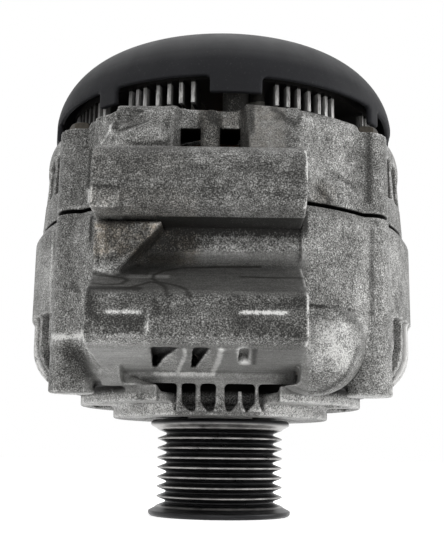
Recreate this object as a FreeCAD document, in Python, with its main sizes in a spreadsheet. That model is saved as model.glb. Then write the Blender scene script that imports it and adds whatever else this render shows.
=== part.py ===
import FreeCAD, Part
import math
import operator
import os
from types import SimpleNamespace

import Sketcher

# Driving dimensions in millimetres, angles in degrees. The origin is on the shaft's axis at the outer face of
# the pulley, +Z runs along the shaft towards the rear cover, and the mounting barrels are at -Y.
SIZES = {
    # How far joined forms run into each other, and how far cuts run past a face
    "overlap": 1,
    "cut_allowance": 5,
    # Belt pulley, from the pitch of the multi-rib belt profile
    "belt_rib_pitch": 3.56,
    "belt_groove_depth": 3.6,
    "belt_groove_angle": 40,
    "ridge_tip_flat": 0.5,
    "ridge_tip_radius": 23.83,
    "first_groove_height": 5.26,
    "pulley_height": 35.3,
    "outer_flange_radius": 26.8,
    "inner_flange_radius": 26.5,
    "flange_lip": 1.9,
    "flange_edge": 0.8,
    "nut_recess_radius": 17,
    "nut_recess_depth": 18,
    # Shaft and bearings
    "shaft_radius": 8.5,
    "shaft_body_radius": 11,
    "shaft_rear_radius": 7.5,
    "ring_seat_radius": 6.5,
    "shaft_start": 5,
    "shaft_end": 161,
    "key_socket_radius": 4,
    "key_socket_depth": 8,
    "seat_clearance": 0.02,
    "front_bearing_height": 38.5,
    "front_bearing_width": 14,
    "front_bearing_radius": 23.5,
    "front_ball_radius": 4.3,
    "front_ball_pitch_radius": 16,
    "rear_bearing_height": 128.5,
    "rear_bearing_width": 11,
    "rear_bearing_radius": 17.5,
    "rear_ball_radius": 2.9,
    "rear_ball_pitch_radius": 12.5,
    "race_clearance": 0.06,
    "cage_rim": 0.9,
    "cage_clearance": 0.12,
    "seal_clearance": 0.25,
    "seal_thickness": 0.8,
    "seal_inset": 0.4,
    "rear_sleeve_wall": 1,
    "nut_height": 11,
    "nut_flats_radius": 12,
    "washer_radius": 15,
    "pulley_washer_height": 1.5,
    "spacer_radius": 12.4,
    # Rotor
    "rotor_radius": 50,
    "rotor_middle": 97,
    "pole_plate_thickness": 12,
    "pole_core_radius": 27,
    "pole_plate_radius": 34,
    "pole_gap_half": 15,
    "claw_root_half_width": 12.6,
    "claw_tip_half_width": 5,
    "claw_inner_radius": 41.5,
    "claw_tip_gap": 3,
    "claw_trim_allowance": 1.5,
    "bobbin_wall": 1.1,
    "bobbin_flange_radius": 40.8,
    "coil_radius": 40,
    "fan_disc_thickness": 1.5,
    "fan_disc_radius": 44,
    "fan_blade_thickness": 1.5,
    "front_blade_height": 10.4,
    "rear_blade_height": 6.4,
    "blade_inner_radius": 34,
    "blade_outer_radius": 48.5,
    "blade_lean": 32,
    "slip_ring_radius": 12,
    "slip_ring_height": 6.5,
    "carrier_radius": 9.5,
    "carrier_start": 141.6,
    "carrier_end": 161.4,
    "lower_ring_height": 144,
    "upper_ring_height": 153.5,
    # Stator
    "stator_outer_radius": 64.6,
    "air_gap": 0.5,
    "stack_height": 34,
    "stator_slot_width": 4.2,
    "stator_slot_depth": 10,
    "winding_clearance": 0.2,
    "winding_bore_clearance": 0.8,
    "end_turn_height": 12.5,
    "end_turn_bevel": 3,
    "bolt_notch_radius": 3.1,
    # Front housing
    "hub_ring_height": 36.4,
    "hub_ring_thickness": 3,
    "hub_ring_radius": 41,
    "hub_lip_radius": 29,
    "hub_lip_height": 35.6,
    "shaft_opening_radius": 14.5,
    "bearing_boss_radius": 32,
    "step_disc_height": 40,
    "step_disc_thickness": 3.5,
    "step_disc_radius": 53.5,
    "shoulder_centre_radius": 56,
    "shoulder_centre_height": 61,
    "shoulder_radius": 16,
    "swell_radius": 17,
    "swell_x": 31,
    "swell_y": -51,
    "swell_height": 59,
    "front_band_radius": 73,
    "front_band_bottom": 70.5,
    "front_band_top": 99.8,
    "parting_height": 103.5,
    "parting_radius": 70.8,
    "parting_gap": 1.1,
    "parting_gap_depth": 3.2,
    "cavity_radius": 62.5,
    "cavity_corner_radius": 7,
    "cavity_floor_inset": 5,
    "cavity_floor_rise": 4,
    "cavity_floor_bend": 12,
    "cavity_bend_drop": 3,
    # Bolt columns and through bolts
    "column_x": 50.6,
    "column_y": 43.5,
    "column_radius": 7.8,
    "column_foot": 42.2,
    "column_top": 134.4,
    "through_bolt_radius": 2.5,
    "bolt_hole_clearance": 0.15,
    "bolt_head_radius": 4.3,
    "bolt_head_height": 3.6,
    "bolt_head_dome": 7.8,
    "bolt_washer_radius": 5.4,
    "bolt_washer_height": 1,
    "spot_face_radius": 7,
    "bolt_foot": 47,
    "bolt_hole_foot": 45.5,
    "retainer_thickness": 1.8,
    "retainer_screw_circle": 27.7,
    "retainer_screw_depth": 8,
    # Mounting barrels and the block between them and the body
    "block_left": -40,
    "block_width": 65.5,
    "barrel_y": -80,
    "lower_barrel_height": 63.5,
    "lower_barrel_radius": 12,
    "upper_barrel_height": 105.7,
    "upper_barrel_radius": 11.3,
    "mount_bore_radius": 5.25,
    "facet_front_y": -89.7,
    "facet_front_height": 70,
    "facet_back_y": -69.3,
    "facet_back_height": 81.1,
    "valley_wall_y": -66.6,
    "valley_wall_rise": 4,
    "barrel_foot_bend": 40,
    "overhang_clearance": 0.5,
    "gusset_foot_x": -31,
    "gusset_top_x": -18.2,
    "gusset_depth": 14,
    "block_foot_y": -91.2,
    "block_foot_height": 55.5,
    "underside_front_y": -85.6,
    "underside_front_height": 52.7,
    "underside_back_y": -46.6,
    "underside_back_height": 49.9,
    "lip_y": -43,
    "lip_height": 45.8,
    "block_floor_top": 52.2,
    "block_floor_corner": 5,
    "crest_bar_height": 1.1,
    "crest_bar_proud": 0.7,
    "left_bar_x": -33.7,
    "left_bar_width": 10.1,
    "right_bar_x": 5.4,
    "right_bar_width": 13.3,
    "corner_pad_width": 8.8,
    "corner_pad_proud": 10.6,
    "corner_pad_top": 100.2,
    # Air openings
    "side_window_half_width": 4,
    "side_window_pitch": 8.6,
    "front_window_bottom": 49,
    "front_window_top": 70.5,
    "rear_window_bottom": 115.5,
    "rear_window_top": 130.5,
    "inlet_sill_height": 37.3,
    "inlet_inner_radius": 36.5,
    "inlet_start_angle": 247,
    "inlet_end_angle": 291,
    "inlet_left": -21.2,
    "inlet_right": 19.8,
    "undercut_left": -33,
    "undercut_height": 45.4,
    "rib_flare_height": 2.7,
    "inlet_rib_top": 47,
    "inlet_rib_back_y": -37,
    "floor_window_inner": 42.5,
    "floor_window_outer": 50.5,
    "floor_window_half_angle": 10.5,
    "under_window_front_y": -86,
    "under_window_top": 54.4,
    "blind_recess_back_y": -63.5,
    "blind_recess_x": 5.4,
    "blind_recess_width": 3.2,
    # Rear housing
    "rear_waist_radius": 69.4,
    "rear_waist_height": 127,
    "rear_shoulder_bend": 16,
    "rear_rim_radius": 68.3,
    "rear_rim_top": 137.4,
    "rear_rim_width": 4,
    "rear_rim_slope": 1.5,
    "rear_plate_top": 136.6,
    "rear_plate_thickness": 3.2,
    "rear_boss_radius": 24.5,
    "rear_boss_foot": 127.4,
    "rear_boss_top": 141,
    "rear_lip_radius": 14,
    "rear_inlet_inner": 28,
    "rear_inlet_outer": 44,
    "rear_inlet_half_angle": 15,
    "left_boss_x": -36,
    "left_boss_width": 21.4,
    "right_boss_left": 5.5,
    "right_boss_width": 20,
    "boss_front_y": -73.5,
    "boss_top_y": -67.7,
    "boss_top_chamfer": 2.5,
    "boss_depth": 10,
    "rear_cavity_bevel": 4.5,
    "recess_wall_y": -63.5,
    "recess_left_front_x": -19.5,
    "recess_right_front_x": 9.4,
    "recess_floor_height": 117.2,
    "rear_opening_bottom": 122.8,
    "rear_opening_top": 129.8,
    "rear_opening_left_x": -14.5,
    "rear_opening_right_x": -1.1,
    "rear_opening_width": 6.6,
    "rear_opening_start": 8,
    "rear_opening_depth": 12,
    "recess_rib_radius": 3.3,
    "recess_rib_top": 135.6,
    "boss_web_top": 134.5,
    "boss_web_front_y": -70,
    "boss_web_reach": 8,
    "boss_web_back_y": -60.5,
    # Rear cover
    "cover_rim_height": 142,
    "cover_slot_top": 148,
    "cover_slot_inside": 8,
    "cover_slot_outside": 14,
    "cover_radius": 67.4,
    "cover_dome_start": 149.5,
    "cover_dome_bend": 27,
    "cover_crown_radius": 44,
    "cover_crown_height": 173,
    "cover_top": 174.2,
    "cover_wall": 2.4,
    "cover_post_x": 4,
    "cover_post_radius_at": 53,
    "cover_screw_floor": 158,
    "cover_boss_radius": 8,
    "cover_boss_foot": 152.6,
    "peg_length": 3.4,
    "cover_screw_head_radius": 4.6,
    "cover_gap": 0.6,
    "screw_recess_radius": 6,
    "vent_inner": 13,
    "vent_outer": 33,
    "vent_half_width": 1.8,
    # Rectifier, regulator and terminals
    "small_screw_radius": 2,
    "small_screw_head_radius": 3.6,
    "small_screw_head_height": 2.4,
    "post_radius": 4.6,
    "negative_plate_height": 140,
    "negative_plate_thickness": 2.5,
    "negative_plate_outer": 47.5,
    "positive_plate_height": 149.6,
    "positive_plate_thickness": 2.8,
    "plate_inner_radius": 27,
    "fin_outer_radius": 60.5,
    "fin_inner_radius": 50,
    "fin_foot": 141.2,
    "fin_thickness": 1.3,
    "plate_opening_half_angle": 31,
    "rectifier_screw_circle": 40,
    "diode_circle": 37.5,
    "diode_radius": 5.6,
    "diode_height": 4.4,
    "diode_lead_radius": 0.8,
    "terminal_plate_thickness": 2.6,
    "terminal_plate_inner": 29,
    "terminal_plate_outer": 44.5,
    "output_stud_x": -30,
    "output_stud_y": 36,
    "output_stud_radius": 4,
    "output_shank_radius": 4.2,
    "output_shank_above_nut": 0.5,
    "output_stud_end": 190,
    "stud_head_height": 4,
    "collar_radius": 9.5,
    "collar_end": 175,
    "output_nut_height": 6.5,
    "output_nut_flats_radius": 6.5,
    "regulator_half_width": 20,
    "regulator_start_y": 36,
    "regulator_end_y": 56,
    "regulator_screw_x": 16,
    "regulator_screw_y": 47,
    "regulator_foot": 141.4,
    "regulator_top": 156,
    "brush_box_half_width": 6.5,
    "brush_box_start_y": 15.6,
    "brush_box_top": 162,
    "brush_half_width": 2.5,
    "brush_height": 5.9,
    "brush_length": 16,
    "brush_clearance": 0.1,
    "brush_gap": 0.15,
    "brush_tip_wrap": 0.4,
    "brush_channel_end_y": 37.4,
    "spring_radius": 1.8,
    "spring_wire_radius": 0.3,
    "spring_turns": 5,
    "spring_end_gap": 0.1,
    "socket_end_y": 73,
    "socket_half_width": 13,
    "socket_bottom": 143.6,
    "socket_top": 156,
    "socket_wall": 1.7,
    "socket_depth": 15,
    "pin_length": 9,
    "pin_half_width": 1.2,
    "pin_thickness": 0.8,
    "pin_pitch": 6,
}

SMALLEST_CHANGE = 1e-6
START_POINT = 1
END_POINT = 2
CENTRE_POINT = 3
FULL_TURN = 360
HALF_TURN = 180
REAR_DIRECTION = 90
HEX_SIDES = 6


class Length:
    """A dimension with the spreadsheet formula that gives it."""

    def __init__(self, value, formula):
        self.value = float(value)
        self.formula = formula

    def __add__(self, other):
        return combined(self, "+", other)

    def __radd__(self, other):
        return combined(other, "+", self)

    def __sub__(self, other):
        return combined(self, "-", other)

    def __rsub__(self, other):
        return combined(other, "-", self)

    def __mul__(self, other):
        return combined(self, "*", other)

    def __rmul__(self, other):
        return combined(other, "*", self)

    def __truediv__(self, other):
        return combined(self, "/", other)

    def __neg__(self):
        return combined(0, "-", self)


OPERATIONS = {"+": operator.add, "-": operator.sub, "*": operator.mul, "/": operator.truediv}


def as_length(number):
    if isinstance(number, Length):
        return number
    return Length(number, f"{float(number):.6f}")


def combined(left, sign, right):
    left = as_length(left)
    right = as_length(right)
    return Length(OPERATIONS[sign](left.value, right.value), f"({left.formula} {sign} {right.formula})")


def cosine(angle):
    angle = as_length(angle)
    return Length(math.cos(math.radians(angle.value)), f"cos({angle.formula} * 1 deg)")


def sine(angle):
    angle = as_length(angle)
    return Length(math.sin(math.radians(angle.value)), f"sin({angle.formula} * 1 deg)")


def square_root(length):
    return Length(math.sqrt(length.value), f"sqrt({length.formula})")


def polar(radius, angle):
    """Point at a radius and an angle from +X."""
    return radius * cosine(angle), radius * sine(angle)


def turned(along, across, angle):
    """Point given along and across a ray that leaves the axis at an angle from +X."""
    x = along * cosine(angle) - across * sine(angle)
    y = along * sine(angle) + across * cosine(angle)
    return x, y


doc = FreeCAD.newDocument("Alternator")
sheet = doc.addObject("Spreadsheet::Sheet", "Sizes")
for row, (alias, number) in enumerate(SIZES.items(), start=1):
    sheet.set(f"A{row}", alias)
    sheet.set(f"B{row}", str(number))
    sheet.setAlias(f"B{row}", alias)
doc.recompute()
dim = SimpleNamespace(**{alias: Length(number, f"Sizes.{alias}") for alias, number in SIZES.items()})

sub_parts = []


def bind(item, prop, length):
    """Give an object's property the length's value and tie it to the spreadsheet."""
    length = as_length(length)
    if "Sizes." in length.formula:
        item.setExpression(prop, length.formula)
    else:
        setattr(item, prop, length.value)


def new_body(label):
    body = doc.addObject("PartDesign::Body", label)
    body.Label = label
    sub_parts.append(body)
    return body


def origin_feature(body, role):
    return next(item for item in body.Origin.OriginFeatures if item.Role == role)


def sketch_on(body, name, role, offset=0):
    """Empty sketch on one of the body's own planes, moved along its normal."""
    sketch = body.newObject("Sketcher::SketchObject", name)
    sketch.AttachmentSupport = [(origin_feature(body, role), "")]
    sketch.MapMode = "FlatFace"
    offset = as_length(offset)
    shift = FreeCAD.Vector(0, 0, offset.value)
    sketch.AttachmentOffset = FreeCAD.Placement(shift, FreeCAD.Rotation())
    if "Sizes." in offset.formula:
        sketch.setExpression(".AttachmentOffset.Base.z", offset.formula)
    return sketch


def arc_between(start, end, bend, leftwards):
    """Circle arc from start to end that turns left or right, with its radius."""
    chord = end - start
    half = chord.Length / 2
    rise = math.sqrt(max(bend * bend - half * half, 0))
    normal = FreeCAD.Vector(-chord.y, chord.x, 0) / chord.Length
    side = 1 if leftwards else -1
    centre = (start + end) / 2 + normal * rise * side
    first, last = (start, end) if leftwards else (end, start)
    start_angle = math.atan2(first.y - centre.y, first.x - centre.x)
    end_angle = math.atan2(last.y - centre.y, last.x - centre.x)
    circle = Part.Circle(centre, FreeCAD.Vector(0, 0, 1), bend)
    return Part.ArcOfCircle(circle, start_angle, end_angle)


def draw_outline(sketch, corners):
    """Closed outline. A corner is (x, y), or (x, y, bend) when an arc of that radius leads to it,
    turning left for a positive bend and right for a negative one."""
    count = len(corners)
    places = [(as_length(corner[0]), as_length(corner[1])) for corner in corners]
    points = [FreeCAD.Vector(x.value, y.value, 0) for x, y in places]
    first_geometry = sketch.GeometryCount
    shapes = []
    starts = []
    bends = []
    for index in range(count):
        start = points[index]
        end = points[(index + 1) % count]
        reached = corners[(index + 1) % count]
        if len(reached) == 3:
            bend = as_length(reached[2])
            leftwards = bend.value > 0
            shapes.append(arc_between(start, end, abs(bend.value), leftwards))
            starts.append(START_POINT if leftwards else END_POINT)
            bends.append((index, bend if leftwards else -bend))
        else:
            shapes.append(Part.LineSegment(start, end))
            starts.append(START_POINT)
    sketch.addGeometry(shapes, False)
    constraints = []
    for index in range(count):
        following = (index + 1) % count
        this = first_geometry + index
        after = first_geometry + following
        far_end = START_POINT + END_POINT - starts[index]
        constraints.append(Sketcher.Constraint("Coincident", this, far_end, after, starts[following]))
    formulas = []
    for index, (x, y) in enumerate(places):
        for kind, place in (("DistanceX", x), ("DistanceY", y)):
            constraints.append(Sketcher.Constraint(kind, first_geometry + index, starts[index], place.value))
            formulas.append((len(constraints) - 1, place))
    for index, bend in bends:
        constraints.append(Sketcher.Constraint("Radius", first_geometry + index, bend.value))
        formulas.append((len(constraints) - 1, bend))
    apply_constraints(sketch, constraints, formulas)


def draw_circles(sketch, circles):
    """Circles given as (x, y, radius)."""
    constraints = []
    formulas = []
    for x, y, radius in circles:
        x, y, radius = as_length(x), as_length(y), as_length(radius)
        centre = FreeCAD.Vector(x.value, y.value, 0)
        circle = sketch.addGeometry(Part.Circle(centre, FreeCAD.Vector(0, 0, 1), radius.value), False)
        for constraint, length in (
            (Sketcher.Constraint("DistanceX", circle, CENTRE_POINT, x.value), x),
            (Sketcher.Constraint("DistanceY", circle, CENTRE_POINT, y.value), y),
            (Sketcher.Constraint("Radius", circle, radius.value), radius),
        ):
            constraints.append(constraint)
            formulas.append((len(constraints) - 1, length))
    apply_constraints(sketch, constraints, formulas)


def apply_constraints(sketch, constraints, formulas):
    numbers = sketch.addConstraint(constraints)
    for position, length in formulas:
        if "Sizes." in length.formula:
            sketch.setExpression(f"Constraints[{numbers[position]}]", length.formula)


def draw_box(sketch, x_low, y_low, x_high, y_high):
    draw_outline(sketch, [(x_low, y_low), (x_high, y_low), (x_high, y_high), (x_low, y_high)])


def new_feature(body, kind, name):
    """Feature that remembers how much material the body had before it."""
    before = body.Tip.Shape.Volume if body.Tip else 0
    feature = body.newObject("PartDesign::" + kind, name)
    return feature, before


def finish_feature(body, feature, before, grows):
    """Recompute and make sure that a feature added or removed material."""
    doc.recompute()
    after = feature.Shape.Volume
    changed = after - before if grows else before - after
    if changed < SMALLEST_CHANGE:
        raise RuntimeError(f"{body.Label}: {feature.Label} changed nothing")
    return feature


def pad(body, sketch, length, backwards=False):
    feature, before = new_feature(body, "Pad", sketch.Name + "_pad")
    feature.Profile = sketch
    feature.Reversed = backwards
    bind(feature, "Length", length)
    return finish_feature(body, feature, before, True)


def pocket(body, sketch, length, forwards=True):
    """Cut along the sketch's normal, or against it."""
    feature, before = new_feature(body, "Pocket", sketch.Name + "_cut")
    feature.Profile = sketch
    feature.Reversed = forwards
    bind(feature, "Length", length)
    return finish_feature(body, feature, before, False)


def revolve(body, name, corners):
    """Full turn about Z of an outline given as (radius, height)."""
    sketch = sketch_on(body, name + "_outline", "XZ_Plane")
    draw_outline(sketch, corners)
    feature, before = new_feature(body, "Revolution", name)
    feature.Profile = sketch
    feature.ReferenceAxis = (sketch, ["V_Axis"])
    feature.Angle = FULL_TURN
    return finish_feature(body, feature, before, True)


def groove(body, name, corners):
    """Cut a full turn about Z of an outline given as (radius, height)."""
    sketch = sketch_on(body, name + "_outline", "XZ_Plane")
    draw_outline(sketch, corners)
    feature, before = new_feature(body, "Groove", name)
    feature.Profile = sketch
    feature.ReferenceAxis = (sketch, ["V_Axis"])
    feature.Angle = FULL_TURN
    return finish_feature(body, feature, before, False)


def repeat_round(body, features, count, grows):
    """Copies of features round the Z axis."""
    feature, before = new_feature(body, "PolarPattern", features[-1].Name + "_ring")
    feature.Originals = features
    feature.Axis = (origin_feature(body, "Z_Axis"), [""])
    feature.Angle = FULL_TURN
    feature.Occurrences = count
    body.Tip = feature
    return finish_feature(body, feature, before, grows)


def ring(body, name, inner, outer, low, high):
    return revolve(body, name, [(inner, low), (outer, low), (outer, high), (inner, high)])


def ring_cut(body, name, inner, outer, low, high):
    return groove(body, name, [(inner, low), (outer, low), (outer, high), (inner, high)])


def window_outline(sketch, inner, outer, half_width, angle):
    """Parallel-sided window across a wall, seen along Z."""
    corners = []
    for along, side in ((inner, -1), (outer, -1), (outer, 1), (inner, 1)):
        corners.append(turned(along, half_width * side, angle))
    draw_outline(sketch, corners)


def sector_outline(sketch, inner, outer, start, end):
    """Wedge window between two radii and two angles."""
    draw_outline(sketch, [polar(inner, start), polar(outer, start), polar(outer, end), polar(inner, end)])


def tangent(angle):
    angle = as_length(angle)
    return Length(math.tan(math.radians(angle.value)), f"tan({angle.formula} * 1 deg)")


def place(item, x=0, y=0, z=0):
    """Put a primitive at a point tied to the spreadsheet."""
    point = [as_length(number) for number in (x, y, z)]
    item.Placement.Base = FreeCAD.Vector(*[number.value for number in point])
    for axis, number in zip("xyz", point):
        if "Sizes." in number.formula:
            item.setExpression(f".Placement.Base.{axis}", number.formula)
    return item


def cylinder(name, radius, height, x=0, y=0, z=0):
    item = doc.addObject("Part::Cylinder", name)
    bind(item, "Radius", radius)
    bind(item, "Height", height)
    return place(item, x, y, z)


def hexagon(name, flats_radius, height, x=0, y=0, z=0):
    item = doc.addObject("Part::Prism", name)
    item.Polygon = HEX_SIDES
    bind(item, "Circumradius", flats_radius / cosine(HALF_TURN / HEX_SIDES))
    bind(item, "Height", height)
    return place(item, x, y, z)


def sphere(name, radius, x=0, y=0, z=0):
    item = doc.addObject("Part::Sphere", name)
    bind(item, "Radius", radius)
    return place(item, x, y, z)


def block(name, x_low, y_low, z_low, x_high, y_high, z_high):
    item = doc.addObject("Part::Box", name)
    bind(item, "Length", as_length(x_high) - x_low)
    bind(item, "Width", as_length(y_high) - y_low)
    bind(item, "Height", as_length(z_high) - z_low)
    return place(item, x_low, y_low, z_low)


def fused(name, items):
    item = doc.addObject("Part::MultiFuse", name)
    item.Shapes = items
    return item


def common(name, first, second):
    item = doc.addObject("Part::MultiCommon", name)
    item.Shapes = [first, second]
    return item


def minus(name, base, tool):
    item = doc.addObject("Part::Cut", name)
    item.Base = base
    item.Tool = tool
    return item


def tube(name, inner, outer, low, high, x=0, y=0):
    """Ring of a wall between two radii, standing between two heights."""
    height = as_length(high) - low
    whole = cylinder(name + "_outside", outer, height, x, y, low)
    return minus(name, whole, cylinder(name + "_inside", inner, height, x, y, low))


def sub_part(label, item):
    item.Label = label
    sub_parts.append(item)
    return item


def group(label, items):
    """Like pieces that share a node, each a solid of its own."""
    item = doc.addObject("Part::Compound", label)
    item.Links = items
    return sub_part(label, item)


# Heights that several pieces share
front_bearing_top = dim.front_bearing_height + dim.front_bearing_width
rear_bearing_top = dim.rear_bearing_height + dim.rear_bearing_width
stack_bottom = dim.rotor_middle - dim.stack_height / 2
stack_top = dim.rotor_middle + dim.stack_height / 2
pole_inner_bottom = dim.rotor_middle - dim.pole_gap_half
pole_bottom = pole_inner_bottom - dim.pole_plate_thickness
pole_top = dim.rotor_middle + dim.pole_gap_half + dim.pole_plate_thickness
ring_floor = dim.hub_ring_height + dim.hub_ring_thickness
block_right = dim.block_left + dim.block_width
stator_bore = dim.stator_outer_radius + dim.seat_clearance
column_places = [
    (dim.column_x, dim.column_y),
    (-dim.column_x, dim.column_y),
    (-dim.column_x, -dim.column_y),
    (dim.column_x, -dim.column_y),
]
bolt_hole_radius = dim.through_bolt_radius + dim.bolt_hole_clearance

RETAINER_SCREW_ANGLES = [45, 135, 225, 315]
COVER_SCREW_ANGLES = [20, 160]
RECTIFIER_SCREW_ANGLES = [0, 180, 225, 315]
NEGATIVE_DIODE_ANGLES = [150, 202, 338]
POSITIVE_DIODE_ANGLES = [30, 250, 290]
SIDE_WINDOW_STEPS = [step + 0.5 for step in range(-4, 4)]
BACK_WINDOW_STEPS = range(-4, 5)
WINDOW_ROWS = [(0, SIDE_WINDOW_STEPS), (REAR_DIRECTION, BACK_WINDOW_STEPS), (HALF_TURN, SIDE_WINDOW_STEPS)]

cover_peg_place = (dim.cover_post_x, -dim.cover_post_radius_at)
cover_screw_places = [polar(dim.cover_post_radius_at, angle) for angle in COVER_SCREW_ANGLES]
cover_post_places = [cover_peg_place] + cover_screw_places
retainer_screw_places = [polar(dim.retainer_screw_circle, angle) for angle in RETAINER_SCREW_ANGLES]
rectifier_screw_places = [polar(dim.rectifier_screw_circle, angle) for angle in RECTIFIER_SCREW_ANGLES]
regulator_screw_places = [
    (dim.regulator_screw_x, dim.regulator_screw_y),
    (-dim.regulator_screw_x, dim.regulator_screw_y),
]


def make_pulley():
    """Solid belt pulley: eight V grooves between two flanges, bored for the shaft, recessed for the nut."""
    body = new_body("pulley")
    tip = dim.ridge_tip_radius
    root = tip - dim.belt_groove_depth
    run = dim.belt_groove_depth * tangent(dim.belt_groove_angle / 2)
    root_half = dim.belt_rib_pitch / 2 - dim.ridge_tip_flat / 2 - run
    edge = dim.flange_edge
    corners = [
        (dim.shaft_radius + dim.seat_clearance, dim.nut_recess_depth),
        (dim.nut_recess_radius, dim.nut_recess_depth),
        (dim.nut_recess_radius, 0),
        (dim.outer_flange_radius - edge, 0),
        (dim.outer_flange_radius, edge),
        (dim.outer_flange_radius, dim.flange_lip),
        (tip + edge / 2, dim.first_groove_height - dim.belt_rib_pitch / 2 - dim.ridge_tip_flat / 2),
    ]
    for number in range(GROOVE_COUNT):
        middle = dim.first_groove_height + dim.belt_rib_pitch * number
        corners.append((tip, middle - root_half - run))
        corners.append((root, middle - root_half))
        corners.append((root, middle + root_half))
        corners.append((tip, middle + root_half + run))
    last = dim.first_groove_height + dim.belt_rib_pitch * (GROOVE_COUNT - 1)
    corners += [
        (tip + edge / 2, last + dim.belt_rib_pitch / 2 + dim.ridge_tip_flat / 2),
        (dim.inner_flange_radius, dim.pulley_height - dim.flange_lip),
        (dim.inner_flange_radius, dim.pulley_height - edge),
        (dim.inner_flange_radius - edge, dim.pulley_height),
        (dim.shaft_radius + dim.seat_clearance, dim.pulley_height),
    ]
    revolve(body, "grooved_rim", corners)


GROOVE_COUNT = 8


def make_shaft():
    body = new_body("rotor_shaft")
    edge = dim.flange_edge
    revolve(body, "steps", [
        (0, dim.shaft_start),
        (dim.shaft_radius - edge, dim.shaft_start),
        (dim.shaft_radius, dim.shaft_start + edge),
        (dim.shaft_radius, front_bearing_top),
        (dim.shaft_body_radius, front_bearing_top),
        (dim.shaft_body_radius, dim.rear_bearing_height),
        (dim.shaft_rear_radius, dim.rear_bearing_height),
        (dim.shaft_rear_radius, rear_bearing_top),
        (dim.ring_seat_radius, rear_bearing_top),
        (dim.ring_seat_radius, dim.shaft_end),
        (0, dim.shaft_end),
    ])
    sketch = sketch_on(body, "key_socket", "XY_Plane", dim.shaft_start)
    step = FULL_TURN / HEX_SIDES
    draw_outline(sketch, [polar(dim.key_socket_radius, step * corner) for corner in range(HEX_SIDES)])
    pocket(body, sketch, dim.key_socket_depth)


def make_pulley_fastening():
    bore = dim.shaft_radius + dim.seat_clearance
    washer_low = dim.nut_recess_depth - dim.pulley_washer_height
    nut_low = washer_low - dim.nut_height
    sub_part("pulley_washer", tube("washer", bore, dim.washer_radius, washer_low, dim.nut_recess_depth))
    nut = hexagon("nut_prism", dim.nut_flats_radius, dim.nut_height, z=nut_low)
    hole = cylinder("nut_bore", bore, dim.nut_height, z=nut_low)
    sub_part("pulley_nut", minus("nut", nut, hole))
    spacer = tube("spacer", bore, dim.spacer_radius, dim.pulley_height, dim.front_bearing_height)
    sub_part("pulley_spacer", spacer)


def make_bearing(prefix, low, width, bore, outer, ball, pitch, count):
    """Sealed ball bearing: two grooved races, balls, a cage with round pockets and two seals."""
    high = low + width
    middle = low + width / 2
    track = ball + dim.race_clearance
    inner_land = pitch - ball * LAND_SHARE
    outer_land = pitch + ball * LAND_SHARE
    reach = square_root(track * track - (pitch - inner_land) * (pitch - inner_land))
    body = new_body(prefix + "_bearing_inner_race")
    revolve(body, prefix + "_inner_ring", [
        (bore, low),
        (inner_land, low),
        (inner_land, middle - reach),
        (inner_land, middle + reach, -track),
        (inner_land, high),
        (bore, high),
    ])
    body = new_body(prefix + "_bearing_outer_race")
    revolve(body, prefix + "_outer_ring", [
        (outer_land, low),
        (outer, low),
        (outer, high),
        (outer_land, high),
        (outer_land, middle + reach),
        (outer_land, middle - reach, -track),
    ])
    balls = []
    for number in range(count):
        x, y = polar(pitch, FULL_TURN / count * number)
        balls.append(sphere(f"{prefix}_ball_{number + 1}", ball, x, y, middle))
    group(prefix + "_bearing_balls", balls)
    cage_half = ball + dim.cage_rim
    body = new_body(prefix + "_bearing_cage")
    half_wall = ball * CAGE_SHARE
    low_rim = middle - cage_half
    ring(body, prefix + "_cage_ring", pitch - half_wall, pitch + half_wall, low_rim, middle + cage_half)
    sketch = sketch_on(body, prefix + "_ball_pocket", "YZ_Plane")
    draw_circles(sketch, [(0, middle, ball + dim.cage_clearance)])
    first = pocket(body, sketch, outer)
    repeat_round(body, [first], count, False)
    inner_edge = inner_land + dim.seal_clearance
    outer_edge = outer_land - dim.seat_clearance
    seals = []
    for name, start in (("low", low + dim.seal_inset), ("high", high - dim.seal_inset - dim.seal_thickness)):
        seals.append(tube(f"{prefix}_seal_{name}", inner_edge, outer_edge, start, start + dim.seal_thickness))
    group(prefix + "_bearing_seals", seals)


LAND_SHARE = 0.7
CAGE_SHARE = 0.25
FRONT_BALL_COUNT = 8
REAR_BALL_COUNT = 9


def make_claw_pole(label, rear):
    """Pole piece with a half core, a plate and six tapered claws."""
    body = new_body(label)
    bore = dim.shaft_body_radius + dim.seat_clearance
    revolve(body, label + "_core", [
        (bore, pole_bottom),
        (dim.pole_plate_radius, pole_bottom),
        (dim.pole_plate_radius, pole_inner_bottom),
        (dim.pole_core_radius, pole_inner_bottom),
        (dim.pole_core_radius, dim.rotor_middle),
        (bore, dim.rotor_middle),
    ])
    root = sketch_on(body, label + "_root", "XY_Plane", pole_bottom)
    overhang = dim.claw_trim_allowance
    half = dim.claw_root_half_width
    draw_box(root, dim.pole_core_radius, -half, dim.rotor_radius + overhang, half)
    root_pad = pad(body, root, dim.pole_plate_thickness)
    finger = sketch_on(body, label + "_finger", "YZ_Plane", dim.claw_inner_radius)
    tip_height = pole_top - dim.claw_tip_gap
    draw_outline(finger, [
        (-half, pole_inner_bottom),
        (half, pole_inner_bottom),
        (dim.claw_tip_half_width, tip_height),
        (-dim.claw_tip_half_width, tip_height),
    ])
    finger_pad = pad(body, finger, dim.rotor_radius - dim.claw_inner_radius + overhang)
    repeat_round(body, [root_pad, finger_pad], CLAW_COUNT, True)
    far = dim.rotor_radius + dim.claw_root_half_width
    ring_cut(body, label + "_turned", dim.rotor_radius, far, pole_bottom - overhang, pole_top + overhang)
    if rear:
        turn = FreeCAD.Rotation(HALF_TURN / CLAW_COUNT, 0, HALF_TURN)
        body.Placement = FreeCAD.Placement(FreeCAD.Vector(0, 0, 2 * dim.rotor_middle.value), turn)
        body.setExpression(".Placement.Base.z", (dim.rotor_middle * 2).formula)


CLAW_COUNT = 6


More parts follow.
